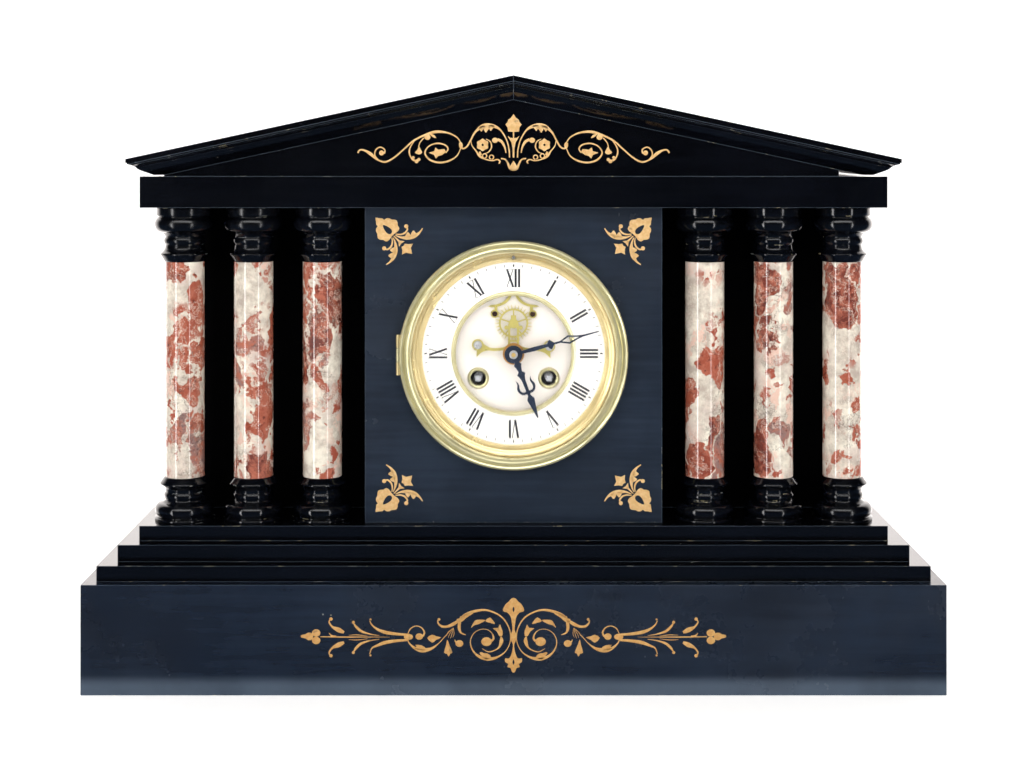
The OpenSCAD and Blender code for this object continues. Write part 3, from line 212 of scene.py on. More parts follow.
def marble(name):
    """Red and white breccia: warped fragments of several reds in a cream ground with grey veins."""
    s = Shader(name)
    warp = s.add("VectorMath", {0: s.add("TexNoise", {"Vector": s.place, "Scale": 42.0, "Detail": 6.0,
                                                      "Roughness": 0.62}, out=1),
                                1: (0.5, 0.5, 0.5)}, operation="SUBTRACT")
    warp = s.add("VectorMath", {0: warp, "Scale": 0.038}, operation="SCALE")
    bent = s.add("VectorMath", {0: s.place, 1: warp}, operation="ADD")
    bent = s.add("Mapping", {"Vector": bent, "Rotation": (0.3, 0.55, 0.0), "Scale": (1.0, 1.0, 0.55)})

    def cells(scale):
        colour = s.add("TexVoronoi", {"Vector": bent, "Scale": scale}, out=1)
        gap = s.add("TexVoronoi", {"Vector": bent, "Scale": scale}, feature="DISTANCE_TO_EDGE")
        parts = s.tree.nodes.new("ShaderNodeSeparateColor")
        s.set_inputs(parts, {"Color": colour})
        return parts.outputs[0], parts.outputs[1], gap

    hue, other, gap = cells(46.0)
    small_hue, small_other, small_gap = cells(150.0)
    mottle = s.noise(160, 7, 0.72, bent)
    reds = s.blend(s.ramp(hue, 0.3, 0.6), rgb(98, 40, 28), rgb(146, 74, 54))
    reds = s.blend(s.ramp(other, 0.68, 0.76), reds, rgb(134, 108, 102))
    reds = s.blend(s.ramp(mottle, 0.40, 0.62), reds, rgb(166, 98, 78))
    reds = s.blend(s.ramp(s.noise(330, 5, 0.7), 0.56, 0.66, 0.0, 0.75), reds, rgb(66, 32, 28))
    cream = s.blend(s.ramp(s.noise(70, 7, 0.7), 0.36, 0.62), rgb(222, 216, 200), rgb(170, 158, 146))
    cream = s.blend(s.ramp(s.noise(34, 4), 0.52, 0.66, 0.0, 0.8), cream, rgb(198, 182, 172))
    crumbs = s.blend(s.ramp(small_hue, 0.35, 0.6), rgb(210, 178, 162), rgb(150, 76, 58))
    keep = s.math("MULTIPLY", s.ramp(small_gap, 0.04, 0.12), s.ramp(small_other, 0.45, 0.55))
    cream = s.blend(s.math("MULTIPLY", keep, s.ramp(s.noise(40, 3), 0.42, 0.56)), cream, crumbs)
    open_ground = s.ramp(s.noise(19, 4, 0.6), 0.42, 0.56)
    torn = s.math("ADD", gap, s.math("MULTIPLY", s.math("SUBTRACT", mottle, 0.5), 0.22))
    is_red = s.ramp(s.math("SUBTRACT", torn, s.math("MULTIPLY", open_ground, 0.34)), 0.01, 0.05)
    body = s.blend(is_red, cream, reds)
    thread = s.math("ABSOLUTE", s.math("SUBTRACT", s.noise(64, 8, 0.7, bent), 0.5))
    body = s.blend(s.ramp(thread, 0.010, 0.002, 0.0, 0.85), body, rgb(222, 206, 190))
    crack = s.math("ABSOLUTE", s.math("SUBTRACT", s.noise(88, 8, 0.75), 0.47))
    crack = s.math("MULTIPLY", s.ramp(crack, 0.012, 0.003), s.ramp(s.noise(23, 3), 0.48, 0.6))
    body = s.blend(crack, body, rgb(74, 66, 62))
    return s.finish(Base_Color=body, Roughness=s.ramp(s.noise(60), 0.3, 0.7, 0.05, 0.11), Coat_Weight=0.6,
                    Coat_Roughness=0.03)


def metal(name, colour, tarnish, gloss=0.2, patina=0.35, grain=220.0, marks=None):
    """Lacquered metal: soft cloudy tarnish, small dark spots and a fine lapped grain.

    marks(shader) may return (mask, colour) pairs for parts of another metal, such as screw heads, or for
    painted shade.
    """
    s = Shader(name)
    clouds = s.ramp(s.noise(38, 6, 0.65), 0.45, 0.72, 0.0, patina)
    spots = s.ramp(s.noise(430, 2), 0.66, 0.74, 0.0, patina * 0.5)
    dirt = s.math("MAXIMUM", clouds, spots)
    rough = s.math("ADD", s.ramp(s.noise(70, 5), 0.3, 0.7, gloss, gloss + 0.12),
                   s.math("MULTIPLY", spots, 0.3))
    face = s.blend(dirt, colour, tarnish)
    for mask, other in marks(s) if marks else ():
        face = s.blend(mask, face, s.blend(dirt, other, tarnish))
    return s.finish(Base_Color=face, Metallic=LACQUERED, Roughness=rough,
                    Normal=s.bump(s.noise(grain, 5, 0.7), 0.01, 0.2 * MM))


def gilding(name, colour=rgb(226, 168, 96), pale=rgb(240, 200, 140)):
    """Old gold paint in the engraving, uneven and slightly worn by rubbing."""
    s = Shader(name)
    uneven = s.ramp(s.noise(420, 5, 0.65), 0.35, 0.7)
    thin = s.ramp(s.noise(150, 4), 0.64, 0.72, 0.0, 0.55)
    gold = s.blend(thin, s.blend(uneven, colour, pale), rgb(120, 96, 66))
    return s.finish(Base_Color=gold, Metallic=0.35, Roughness=s.ramp(uneven, 0.0, 1.0, 0.38, 0.55),
                    Normal=s.bump(s.noise(1400, 3), 0.25, 0.05 * MM))


def enamel(name, colour, shade):
    """Fired white enamel with a faintly uneven tone and the rare pinhole."""
    s = Shader(name)
    tone = s.ramp(s.noise(24, 4), 0.35, 0.7)
    hole = s.ramp(s.add("TexVoronoi", {"Vector": s.place, "Scale": 140.0}), 0.05, 0.03)
    hole = s.math("MULTIPLY", hole, s.ramp(s.noise(21), 0.66, 0.68))
    return s.finish(Base_Color=s.blend(hole, s.blend(tone, colour, shade), rgb(120, 112, 100)),
                    Roughness=s.ramp(s.noise(90, 3), 0.3, 0.7, 0.10, 0.18), Coat_Weight=0.5,
                    Coat_Roughness=0.05, Normal=s.bump(s.noise(60, 2), 0.02))


def dark_paint(name):
    """Vitreous black of the numerals, a little thin in places."""
    s = Shader(name)
    thin = s.ramp(s.noise(700, 4), 0.5, 0.75)
    return s.finish(Base_Color=s.blend(thin, rgb(28, 32, 42), rgb(58, 62, 74)), Roughness=0.3)


def clear_glass(name):
    """Thin glass that stays clear: mostly transparent, with its reflection and faint smears."""
    s = Shader(name)
    smears = s.ramp(s.noise(22, 6, 0.7), 0.4, 0.75, 0.01, 0.09)
    return s.finish(Base_Color=(1.0, 1.0, 1.0, 1.0), Roughness=smears, IOR=1.25, Transmission_Weight=1.0,
                    Alpha=0.25)


def near(s, points, radius):
    """1 within a radius of any of the points (x, z) round the dial's centre, 0 outside."""
    flat = s.add("VectorMath", {0: s.place, 1: (1.0, 0.0, 1.0)}, operation="MULTIPLY")
    mask = 0.0
    for x, z in points:
        away = s.tree.nodes.new("ShaderNodeVectorMath")
        away.operation = "DISTANCE"
        s.set_inputs(away, {0: flat, 1: (DIAL.x + x, 0.0, DIAL.z + z)})
        mask = s.math("MAXIMUM", mask, s.ramp(away.outputs["Value"], radius, radius * 0.96))
    return mask


def behind(s, depth):
    """1 on what lies further back than a depth, 0 in front of it."""
    return s.ramp(s.add("SeparateXYZ", {"Vector": s.place}, out=1), depth, depth + 0.1 * MM)


def bridge_marks(s):
    return [(near(s, BRIDGE_SCREWS, SCREW), STEEL_WHITE)]


def stone_marks(s):
    return [(near(s, STONES, STONE), rgb(58, 34, 34))]


def ratchet_marks(s):
    """Only the square stands out: the rest of the arbor that shows through the dial is painted near-black as
    painted shade, for the dark behind the dial.
    """
    inside = near(s, WINDING, WINDING_SQUARE)
    front = s.math("SUBTRACT", 1.0, behind(s, WINDING_SHOWS))
    # painted shade: outside the square, the arbor in front of WINDING_SHOWS turns near-black
    return [(s.math("MULTIPLY", s.math("SUBTRACT", 1.0, inside), front), PAINTED_HOLE_SHADE)]


def washer_marks(s):
    """A steel collar before the minute hand, and its brass hub behind."""
    front = s.math("SUBTRACT", 1.0, behind(s, HUB_FRONT - 0.1 * MM))
    return [(s.math("MULTIPLY", near(s, [(0.0, 0.0)], WASHER), front), STEEL_WHITE),
            (behind(s, MINUTE_BACK), rgb(200, 150, 84))]


def hour_marks(s):
    """The hour hand's brass hub behind its blade."""
    return [(behind(s, HOUR_BACK), rgb(204, 150, 78))]


def paint_nodes(material, *names):
    for name in names:
        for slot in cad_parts[name].material_slots:
            slot.material = material


# ---- camera, floor and lights ----------------------------------------------

def make_camera():
    data = bpy.data.cameras.new("camera")
    data.lens = LENS
    data.sensor_width = 36
    data.shift_x, data.shift_y = SHIFT
    camera = bpy.data.objects.new("camera", data)
    camera.location = (0, PLINTH_FRONT - CAMERA_BEFORE, CAMERA_HEIGHT)
    camera.rotation_euler = (math.radians(90), 0, 0)
    bpy.context.collection.objects.link(camera)
    bpy.context.scene.camera = camera


def make_floor():
    """A white floor that curves up into a round backdrop, kept out of the polished stone's reflections."""
    bend, radius, top, steps, sides = 3.0, 1.0, 4.0, 12, 96
    profile = [(0.0, 0.0)]
    for i in range(steps + 1):
        a = math.pi / 2 * i / steps
        profile.append((bend + radius * math.sin(a), radius * (1 - math.cos(a))))
    profile.append((bend + radius, top))
    shape = bmesh.new()
    verts = [shape.verts.new((r, 0, z)) for r, z in profile]
    edges = [shape.edges.new(pair) for pair in zip(verts, verts[1:])]
    bmesh.ops.spin(shape, geom=verts + edges, cent=(0, 0, 0), axis=(0, 0, 1), angle=2 * math.pi, steps=sides)
    bmesh.ops.remove_doubles(shape, verts=shape.verts, dist=1e-5)
    bmesh.ops.recalc_face_normals(shape, faces=shape.faces)
    mesh = bpy.data.meshes.new("floor")
    shape.to_mesh(mesh)
    shape.free()
    floor = bpy.data.objects.new("floor", mesh)
    floor.visible_glossy = False
    bpy.context.collection.objects.link(floor)
    s = Shader("floor")
    paper = s.blend(s.ramp(s.noise(3), 0.3, 0.7), rgb(250, 250, 250), rgb(246, 246, 245))
    mesh.materials.append(s.finish(Base_Color=paper, Roughness=0.8, Emission_Color=(1.0, 1.0, 1.0, 1.0),
                                   Emission_Strength=PAPER_GLOW))


def area_light(name, azimuth, height, distance, size, radiance, gleam=False, aim=0.2):
    """A soft panel round the clock, azimuth 0 in front and positive to the viewer's right.

    A gleam only shows in reflections, so that it lays a highlight without flattening the light.
    """
    data = bpy.data.lights.new(name, "AREA")
    data.shape = "RECTANGLE"
    data.size, data.size_y = size
    data.energy = radiance * math.pi * size[0] * size[1]
    light = bpy.data.objects.new(name, data)
    light.visible_diffuse = not gleam
    a = math.radians(azimuth)
    light.location = (distance * math.sin(a), -distance * math.cos(a), height)
    light.rotation_euler = (Vector((0, 0, aim)) - light.location).to_track_quat("-Z", "Y").to_euler()
    bpy.context.collection.objects.link(light)


def make_lights():
    area_light("strip_left", -45, 0.2, 2.2, (0.10, 3.4), 7.0)
    area_light("strip_right", 33, 0.2, 2.2, (0.08, 3.4), 6.0)
    area_light("front_soft", 0, 1.9, 1.9, (4.2, 1.1), 0.34)
    area_light("overhead", 180, 2.4, 0.4, (2.4, 2.0), 0.28)
    area_light("gleam_left", -45, 0.0, 2.2, (0.26, 1.3), 9.0, gleam=True, aim=0.0)
    area_light("gleam_right", 33, 0.0, 2.2, (0.17, 1.3), 7.0, gleam=True, aim=0.0)
    area_light("gleam_window", -4, 1.7, 1.8, (2.6, 0.9), 3.2, gleam=True)
    make_world()


def make_world():
    """Dark in front of the clock, faint navy below its horizon, and bright behind it."""
    world = bpy.data.worlds.new("studio")
    world.use_nodes = True
    nodes, links = world.node_tree.nodes, world.node_tree.links

    def smooth(value, low, high):
        node = nodes.new("ShaderNodeMapRange")
        node.interpolation_type = "SMOOTHSTEP"
        node.inputs["From Min"].default_value = low
        node.inputs["From Max"].default_value = high
        links.new(value, node.inputs["Value"])
        return node.outputs[0]

    def blend(factor, a, b):
        node = nodes.new("ShaderNodeMix")
        node.data_type = "RGBA"
        links.new(factor, node.inputs[0])
        for socket, value in ((node.inputs[6], a), (node.inputs[7], b)):
            if isinstance(value, bpy.types.NodeSocket):
                links.new(value, socket)
            else:
                socket.default_value = value
        return node.outputs[2]

    towards = nodes.new("ShaderNodeSeparateXYZ")
    links.new(nodes.new("ShaderNodeTexCoord").outputs["Generated"], towards.inputs[0])
    dark, navy, bright = (0.01, 0.01, 0.014, 1.0), (0.05, 0.08, 0.14, 1.0), (2.6, 2.45, 2.38, 1.0)
    front = blend(smooth(towards.outputs["Z"], *BELOW), dark, navy)
    colour = blend(smooth(towards.outputs["Y"], *BEHIND), front, bright)
    links.new(colour, nodes["Background"].inputs["Color"])
    bpy.context.scene.world = world
    bpy.context.scene.view_settings.view_transform = "Standard"


# ---- flat ornament ----------------------------------------------------------

def through(points, steps=6, closed=False):
    """A smooth line through points of any length (u, v, ...), as a Catmull-Rom curve."""
    n = len(points)
    line = []
    for i in range(n if closed else n - 1):
        quad = [points[(i + k) % n] if closed else points[min(max(i + k, 0), n - 1)] for k in (-1, 0, 1, 2)]
        for j in range(steps):
            t = j / steps
            line.append(tuple(
                0.5 * (2 * b + (c - a) * t + (2 * a - 5 * b + 4 * c - d) * t ** 2
                       + (3 * b - a - 3 * c + d) * t ** 3)
                for a, b, c, d in zip(*quad)))
    return line if closed else line + [tuple(points[-1])]


class Relief:
    """A thin raised drawing on an upright face, in millimetres right and up from its own origin."""

    def __init__(self, name, x, y, z, height):
        self.name = name
        self.origin = Vector((x, y, z))
        self.height = height
        self.mesh = bmesh.new()

    def vert(self, u, v, out=0.0):
        return self.mesh.verts.new(self.origin + Vector((u, -out, v)) * MM)

    def stroke(self, points, steps=6, flip=1, smooth=True):
        """A band along (u, v, width) points, with a soft ridge and pointed or rounded ends."""
        line = through([(flip * u, v, w) for u, v, w in points], steps) if smooth else points
        rings = []
        for i, (u, v, w) in enumerate(line):
            du = line[min(i + 1, len(line) - 1)][0] - line[max(i - 1, 0)][0]
            dv = line[min(i + 1, len(line) - 1)][1] - line[max(i - 1, 0)][1]
            length = math.hypot(du, dv) or 1.0
            nu, nv = -dv / length * w / 2, du / length * w / 2
            ridge = self.height * min(1.0, 0.5 + w / 2)
            rings.append([self.vert(u + nu, v + nv), self.vert(u + nu * 0.5, v + nv * 0.5, ridge),
                          self.vert(u - nu * 0.5, v - nv * 0.5, ridge), self.vert(u - nu, v - nv),
                          self.vert(u, v, -self.height)])
        for a, b in zip(rings, rings[1:]):
            for i in range(5):
                j = (i + 1) % 5
                self.mesh.faces.new((a[i], a[j], b[j], b[i]))
        self.mesh.faces.new(rings[0][::-1])
        self.mesh.faces.new(rings[-1])

    def ball(self, u, v, r, r_up=None, flip=1, sides=20):
        """A low domed button."""
        rings = []
        for scale, out in ((1.0, -self.height), (1.0, 0.0), (0.82, self.height * 0.8),
                           (0.4, self.height * 1.1)):
            rings.append([self.vert(flip * u + r * scale * math.cos(2 * math.pi * i / sides),
                                    v + (r_up or r) * scale * math.sin(2 * math.pi * i / sides), out)
                          for i in range(sides)])
        for a, b in zip(rings, rings[1:]):
            for i in range(sides):
                j = (i + 1) % sides
                self.mesh.faces.new((a[i], a[j], b[j], b[i]))
        self.mesh.faces.new(rings[0][::-1])
        self.mesh.faces.new(rings[-1])

    def plate(self, outline, holes=(), flip=1, smooth=3):
        """A flat leaf with any holes, as a thin closed plate."""
        edges = []
        for loop in (outline, *holes):
            line = through(loop, smooth, closed=True) if smooth else loop
            verts = [self.vert(flip * u, v, self.height) for u, v in line]
            edges += [self.mesh.edges.new((a, b)) for a, b in zip(verts, verts[1:] + verts[:1])]
        fill = bmesh.ops.triangle_fill(self.mesh, use_beauty=True, edges=edges)["geom"]
        faces = [g for g in fill if isinstance(g, bmesh.types.BMFace)]
        back = bmesh.ops.extrude_face_region(self.mesh, geom=faces, use_keep_orig=True)["geom"]
        for g in back:
            if isinstance(g, bmesh.types.BMVert):
                g.co.y += 2 * self.height * MM

    def done(self, material, body="case"):
        bmesh.ops.recalc_face_normals(self.mesh, faces=self.mesh.faces)
        data = bpy.data.meshes.new(self.name)
        self.mesh.to_mesh(data)
        self.mesh.free()
        data.materials.append(material)
        piece = bpy.data.objects.new(self.name, data)
        bpy.context.collection.objects.link(piece)
        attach(piece, body)
        return piece


def mirrored(half):
    """Closes a right-hand half outline, listed from top to bottom, with its mirror image."""
    return half + [(-u, v) for u, v in reversed(half) if u > 0]


def coil(u, v, turns):
    """Points of a scroll round a centre from (degrees, radius, width) stations."""
    return [(u + r * math.cos(math.radians(a)), v + r * math.sin(math.radians(a)), w) for a, r, w in turns]


# ---- plinth ornament ---------------------------------------------------------

def plinth_ornament(gold):
    """A long branch to each side of a double palmette."""
    d = Relief("plinth_gilding", 0, PLINTH_FRONT, 0.0342, GILT)
    d.plate(mirrored([(0, 23.3), (1.6, 22.6), (2.8, 21.1), (4.6, 19.6), (6.2, 16.6), (5.6, 15.2), (3.6, 14.6),
                      (1.7, 12.2), (1.0, 8.5), (0.7, 4.4), (1.8, 1.3), (1.6, -1.4), (0.4, -4.2), (0.7, -7.6),
                      (1.7, -11.0), (3.0, -12.4), (4.9, -12.3), (4.9, -14.4), (3.2, -15.6), (3.6, -17.4),
                      (1.8, -18.0), (0.9, -20.2), (0, -20.7)]),
            holes=[mirrored([(0, 18.1), (0.6, 16.6), (0, 14.8)]), mirrored([(0, -12.8), (0.6, -14.6),
                                                                            (0, -16.2)])])
    for side in (1, -1):
        d.stroke(coil(-15.3, -2.1, [(149, 21.2, 0.5), (132, 20.4, 1.4), (112, 19.0, 1.5), (90, 18.0, 1.0),
                                    (60, 16.4, 0.9), (30, 14.7, 0.7), (0, 13.4, 0.5), (-30, 12.2, 0.6),
                                    (-60, 11.1, 1.2), (-90, 10.5, 2.2), (-120, 10.4, 1.5), (-150, 10.3, 0.8),
                                    (-180, 10.1, 0.6), (-210, 9.2, 0.5), (-240, 7.9, 0.4), (-270, 6.6, 0.4),
                                    (-300, 5.2, 0.7), (-335, 3.9, 1.1), (-360, 2.4, 1.4)]), flip=side)
        d.ball(-15.9, -2.5, 3.1, 2.6, flip=side)
        d.plate([(-19.8, -9.6), (-19.2, -8.6), (-17.4, -9.2), (-15.0, -9.6), (-13.4, -11.4), (-16.4, -12.9)],
                flip=side)
        d.plate([(-25.0, 5.7), (-23.6, 8.6), (-21.8, 10.3), (-16.6, 10.2), (-20.2, 8.0), (-23.0, 7.2)],
                flip=side)
        d.plate([(-16.6, 9.7), (-14.2, 11.7), (-12.6, 10.6), (-10.9, 8.0), (-13.8, 8.6)], flip=side)
        d.plate([(-8.0, 7.7), (-9.1, 5.7), (-12.2, 5.4), (-9.9, 3.5), (-8.4, 0.9), (-6.7, 0.9), (-6.4, 3.4),
                 (-7.2, 5.6)], flip=side, smooth=2)
        d.stroke([(-7.5, 0.4, 0.7), (-7.1, -2.1, 2.2), (-9.0, -6.3, 0.9), (-14.3, -8.5, 0.6),
                  (-18.5, -6.6, 0.3)], flip=side)
        d.plate([(-23.8, 14.9), (-28.6, 13.7), (-29.4, 12.8), (-31.4, 12.4), (-31.8, 11.2), (-33.4, 10.8),
                 (-33.0, 9.0), (-30.2, 9.4), (-28.0, 11.4), (-24.0, 14.0)], flip=side, smooth=2)
        d.stroke([(-32.4, 9.8, 1.4), (-35.4, 7.9, 2.0), (-39.0, 6.4, 1.4), (-42.2, 6.5, 1.3), (-44.3,
                                                                                               8.3, 0.9),
                  (-44.6, 10.2, 0.7)], flip=side)
        d.ball(-43.9, 10.6, 0.8, flip=side)
        d.stroke([(-31.7, 9.6, 1.8), (-32.0, 5.4, 1.7), (-30.9, 2.7, 1.0), (-28.1, 1.5, 0.5)], flip=side)
        d.stroke([(-36.0, 5.2, 0.2), (-40.6, 0.3, 0.5), (-44.2, -3.6, 0.6), (-48.5, -6.6, 1.6),
                  (-53.7, -7.6, 2.6), (-58.0, -6.4, 1.6), (-61.4, -3.4, 0.8), (-62.4, -1.0, 0.6)], flip=side)
        d.plate([(-51.6, -6.6), (-54.2, -4.6), (-57.9, -4.4), (-57.0, -5.2), (-58.2, -6.4), (-55.0, -7.4)],
                flip=side, smooth=2)
        for u, v in ((-38.6, 3.0), (-37.6, 2.0), (-36.4, 1.6), (-35.0, 2.2)):
            d.stroke([(-35.4, 5.6, 0.2), (u, v, 0.35), (u - 0.8, v - 2.2, 0.2)], flip=side)
        d.ball(-61.9, 0.3, 2.7, 1.8, flip=side)
        d.stroke([(-62.3, 2.0, 0.4), (-60.6, 5.2, 0.6), (-57.4, 6.7, 0.6), (-54.2, 5.7, 0.7), (-52.5,
                                                                                               3.0, 1.0),
                  (-53.4, 0.6, 1.2)], flip=side)
        d.ball(-55.5, 0.5, 2.2, 1.9, flip=side)
        d.plate([(-50.8, -0.3), (-47.9, 1.6), (-45.6, 0.7), (-42.6, 0.0), (-45.6, -1.5), (-47.9, -3.1)],
                flip=side, smooth=2)
        d.plate([(-39.0, -1.2), (-39.7, -4.4), (-40.9, -8.9), (-39.2, -9.6), (-38.2, -11.3), (-37.2, -9.4),
                 (-36.0, -8.8), (-37.8, -4.4)], flip=side, smooth=2)
        d.ball(-31.9, -3.6, 2.3, 2.0, flip=side)
        d.stroke([(-33.0, -3.2, 1.6), (-34.2, -2.4, 0.8), (-34.6, -1.2, 0.3)], flip=side)
        for up, curve in ((1, 0.0), (-1, 1.0)):
            d.stroke([(-62.6, up * 1.6, 1.2), (-69.0, up * 2.0, 1.6), (-75.5, up * 3.0, 2.0),
                      (-80.2, up * 4.8, 1.4), (-83.4, up * (7.4 - curve), 0.8), (-84.7, up * 9.8,
                                                                                 0.5)], flip=side)
            d.ball(-84.2, up * 10.6, 0.6, flip=side)
            d.stroke([(-79.0, up * 1.1, 0.3), (-84.4, up * 1.9, 0.7), (-89.6, up * 3.6, 1.4),
                      (-92.6, up * 6.2, 1.4), (-94.0, up * 8.2, 0.6)], flip=side)
            d.ball(-94.3, up * 8.9, 0.9, flip=side)
            d.stroke([(-99.8, up * 2.9, 1.4), (-103.0, up * 4.4, 2.8), (-106.6, up * 6.2, 1.2),
                      (-108.5, up * 8.8, 0.9), (-108.0, up * 10.6, 0.6)], flip=side)
            d.ball(-107.5, up * 10.8, 1.0, flip=side)
            d.ball(-116.2, up * 2.2 + 0.4, 2.5, 2.2, flip=side)
            d.stroke([(-97.0, up * 1.3, 0.2), (-92.0, up * 1.5, 0.5), (-86.0, up * 0.8, 0.2)], flip=side)
        d.stroke([(-73.0, 0.2, 0.2), (-86.0, 0.2, 0.5), (-100.0, 0.2, 0.7), (-113.8, 0.4, 0.5)], flip=side)
        d.stroke([(-104.5, 0.5, 1.1), (-107.0, 0.9, 1.0), (-108.6, 2.6, 0.3)], flip=side)
        d.plate([(-118.4, 2.2), (-121.0, 2.8), (-122.6, 1.8), (-125.0, 1.4), (-125.0, 0.0), (-122.4, -0.6),
                 (-120.8, -1.6), (-118.2, -1.0)], flip=side, smooth=2)
    d.done(gold)


# ---- pediment ornament -------------------------------------------------------

def pediment_ornament(gold):
    """A lily between two running scrolls."""
    d = Relief("pediment_gilding", 0, TYMPANUM_LOW.y, 0.3164, GILT)
    d.plate(mirrored([(0, 26.4), (1.5, 24.2), (3.2, 23.0), (3.6, 21.6), (5.0, 20.1), (3.7, 18.4), (3.3, 15.8),
                      (0, 15.6)]), smooth=0)
    d.plate(mirrored([(0, 11.9), (2.0, 12.0), (3.6, 13.3), (2.4, 11.0), (1.3, 9.2), (0.7, 6.2), (0, 5.6)]),
            smooth=0)
    d.stroke([(0, 15.7, 0.9), (0, 11.6, 0.7)])
    d.stroke([(0, 6.2, 1.2), (0, 0.0, 1.0)])
    d.plate(mirrored([(0, -2.0), (1.2, -3.7), (2.1, -5.2), (1.9, -7.3), (0, -8.1)]), smooth=0)
    for side in (1, -1):
        d.stroke([(-7.6, -0.6, 0.8), (-5.0, -1.2, 0.9), (-3.4, -3.6, 1.2), (-2.2, -6.6, 1.3), (-0.4,
                                                                                               -7.7, 0.9)],
                 flip=side)
        d.stroke([(-2.4, 0.0, 0.8), (-2.8, 5.4, 0.8), (-4.5, 11.3, 0.8), (-8.2, 17.0, 1.1), (-13.0,
                                                                                             19.3, 2.2),
                  (-18.4, 19.2, 2.4), (-23.2, 15.6, 1.2), (-26.0, 10.7, 1.0), (-28.2, 6.9, 1.0),
                  (-30.5, 5.5, 1.0), (-32.4, 6.6, 1.2), (-32.7, 9.0, 1.0)], flip=side)
        for u, v in ((-19.4, 16.4), (-16.6, 15.8), (-13.6, 16.8)):
            d.plate([(u - 1.8, v + 2.6), (u - 0.4, v - 0.6), (u + 0.4, v + 0.2), (u + 2.2, v + 2.8)],
                    flip=side,
                    smooth=2)
        d.stroke([(-4.6, 2.8, 0.6), (-5.4, 6.4, 1.1), (-7.2, 9.6, 1.6), (-9.8, 11.0, 1.6)], flip=side)
        d.ball(-11.3, 10.5, 1.8, 1.6, flip=side)
        d.stroke([(-26.0, 10.9, 0.5), (-25.2, 7.2, 0.6), (-22.8, 4.0, 0.9), (-20.6, 0.9, 1.4),
                  (-17.4, -0.9, 0.9), (-13.2, -1.9, 0.7), (-9.8, -1.2, 0.8), (-8.3, -2.4, 1.0),
                  (-9.0, -3.7, 0.6)], flip=side)
        for u, v in ((-17.6, 1.0), (-13.4, 0.2)):
            d.stroke(coil(u, v, [(a, 1.3, 0.7) for a in range(-90, 251, 34)]), 3, flip=side)
        star = [(-18.8 + r * math.cos(math.radians(a)), 7.7 + r * math.sin(math.radians(a)))
                for a in range(0, 360, 30) for r in [3.9 if a % 60 else 3.2]]
        eye = [(-18.8 + 0.7 * math.cos(math.radians(a)), 7.7 + 0.7 * math.sin(math.radians(a)))
               for a in range(0, 360, 45)]
        d.plate(star, holes=[eye], flip=side, smooth=2)
        d.stroke([(-20.6, 3.6, 1.2), (-20.0, 1.4, 1.6)], flip=side)
        d.stroke(coil(-18.4, 7.2, [(70, 4.4, 0.4), (30, 4.9, 0.7), (-10, 5.1, 0.8), (-50, 5.0, 0.7),
                                   (-80, 4.8, 0.3)]), flip=side)
        d.ball(-32.0, 7.4, 1.1, 1.9, flip=side)
        d.stroke([(-32.0, 8.6, 0.6), (-34.4, 12.2, 0.8), (-40.0, 15.0, 1.0), (-47.4, 15.6, 1.6),
                  (-54.6, 13.4, 1.2), (-61.0, 10.1, 1.1), (-66.4, 5.4, 0.9), (-72.4, 0.2, 1.0),
                  (-78.0, -2.7, 1.1), (-83.0, -1.2, 1.0), (-87.0, 2.2, 1.9), (-90.6, 4.3, 1.1),
                  (-93.4, 4.6, 0.9), (-94.8, 2.8, 1.0)], flip=side)
        d.stroke([(-82.0, -1.6, 0.5), (-84.4, 1.3, 0.8), (-83.8, 4.6, 0.8), (-81.2, 6.3, 0.8), (-78.4,
                                                                                                4.8, 0.8),
                  (-78.6, 2.4, 0.9)], flip=side)
        d.ball(-80.3, 2.8, 1.5, flip=side)
        d.stroke([(-32.0, 6.0, 0.5), (-34.6, 0.9, 0.8), (-40.0, -2.3, 1.1), (-46.0, -3.0, 1.1),
                  (-51.2, -1.2, 1.1), (-53.9, 2.8, 0.9), (-51.6, 6.8, 0.8), (-46.8, 8.6, 0.9),
                  (-42.0, 7.8, 0.9), (-39.9, 5.4, 0.9), (-41.2, 2.8, 0.6)], flip=side)
        d.plate([(-51.6, 2.9), (-48.2, 4.0), (-47.6, 6.2), (-45.8, 4.8), (-42.0, 5.2), (-41.0, 3.4),
                 (-43.4, 1.6), (-45.8, 0.9), (-47.2, -0.6), (-48.4, 1.6)], flip=side, smooth=0)
        d.stroke([(-60.0, 10.6, 0.5), (-62.8, 6.4, 0.8), (-63.4, 2.8, 0.9), (-62.0, -0.6, 0.9),
                  (-60.2, -1.8, 1.4)], flip=side)
        d.ball(-59.0, -2.3, 1.2, flip=side)
        d.ball(-57.6, -1.2, 1.0, flip=side)
        d.ball(-61.0, 0.0, 0.9, flip=side)
        d.stroke([(-54.6, 12.0, 0.8), (-57.0, 9.0, 0.6), (-57.7, 6.4, 0.6)], flip=side)
        d.plate([(-60.0, 3.0), (-58.6, 4.6), (-57.6, 6.8), (-56.4, 4.8), (-55.6, 3.0), (-57.6, 1.8)],
                flip=side,
                smooth=2)
        d.ball(-52.4, 12.4, 1.9, 1.7, flip=side)
        d.plate([(-51.0, 14.4), (-48.4, 13.8), (-47.0, 11.8), (-49.4, 12.6)], flip=side, smooth=2)
    d.done(gold)


# ---- corner ornament -----------------------------------------------------------

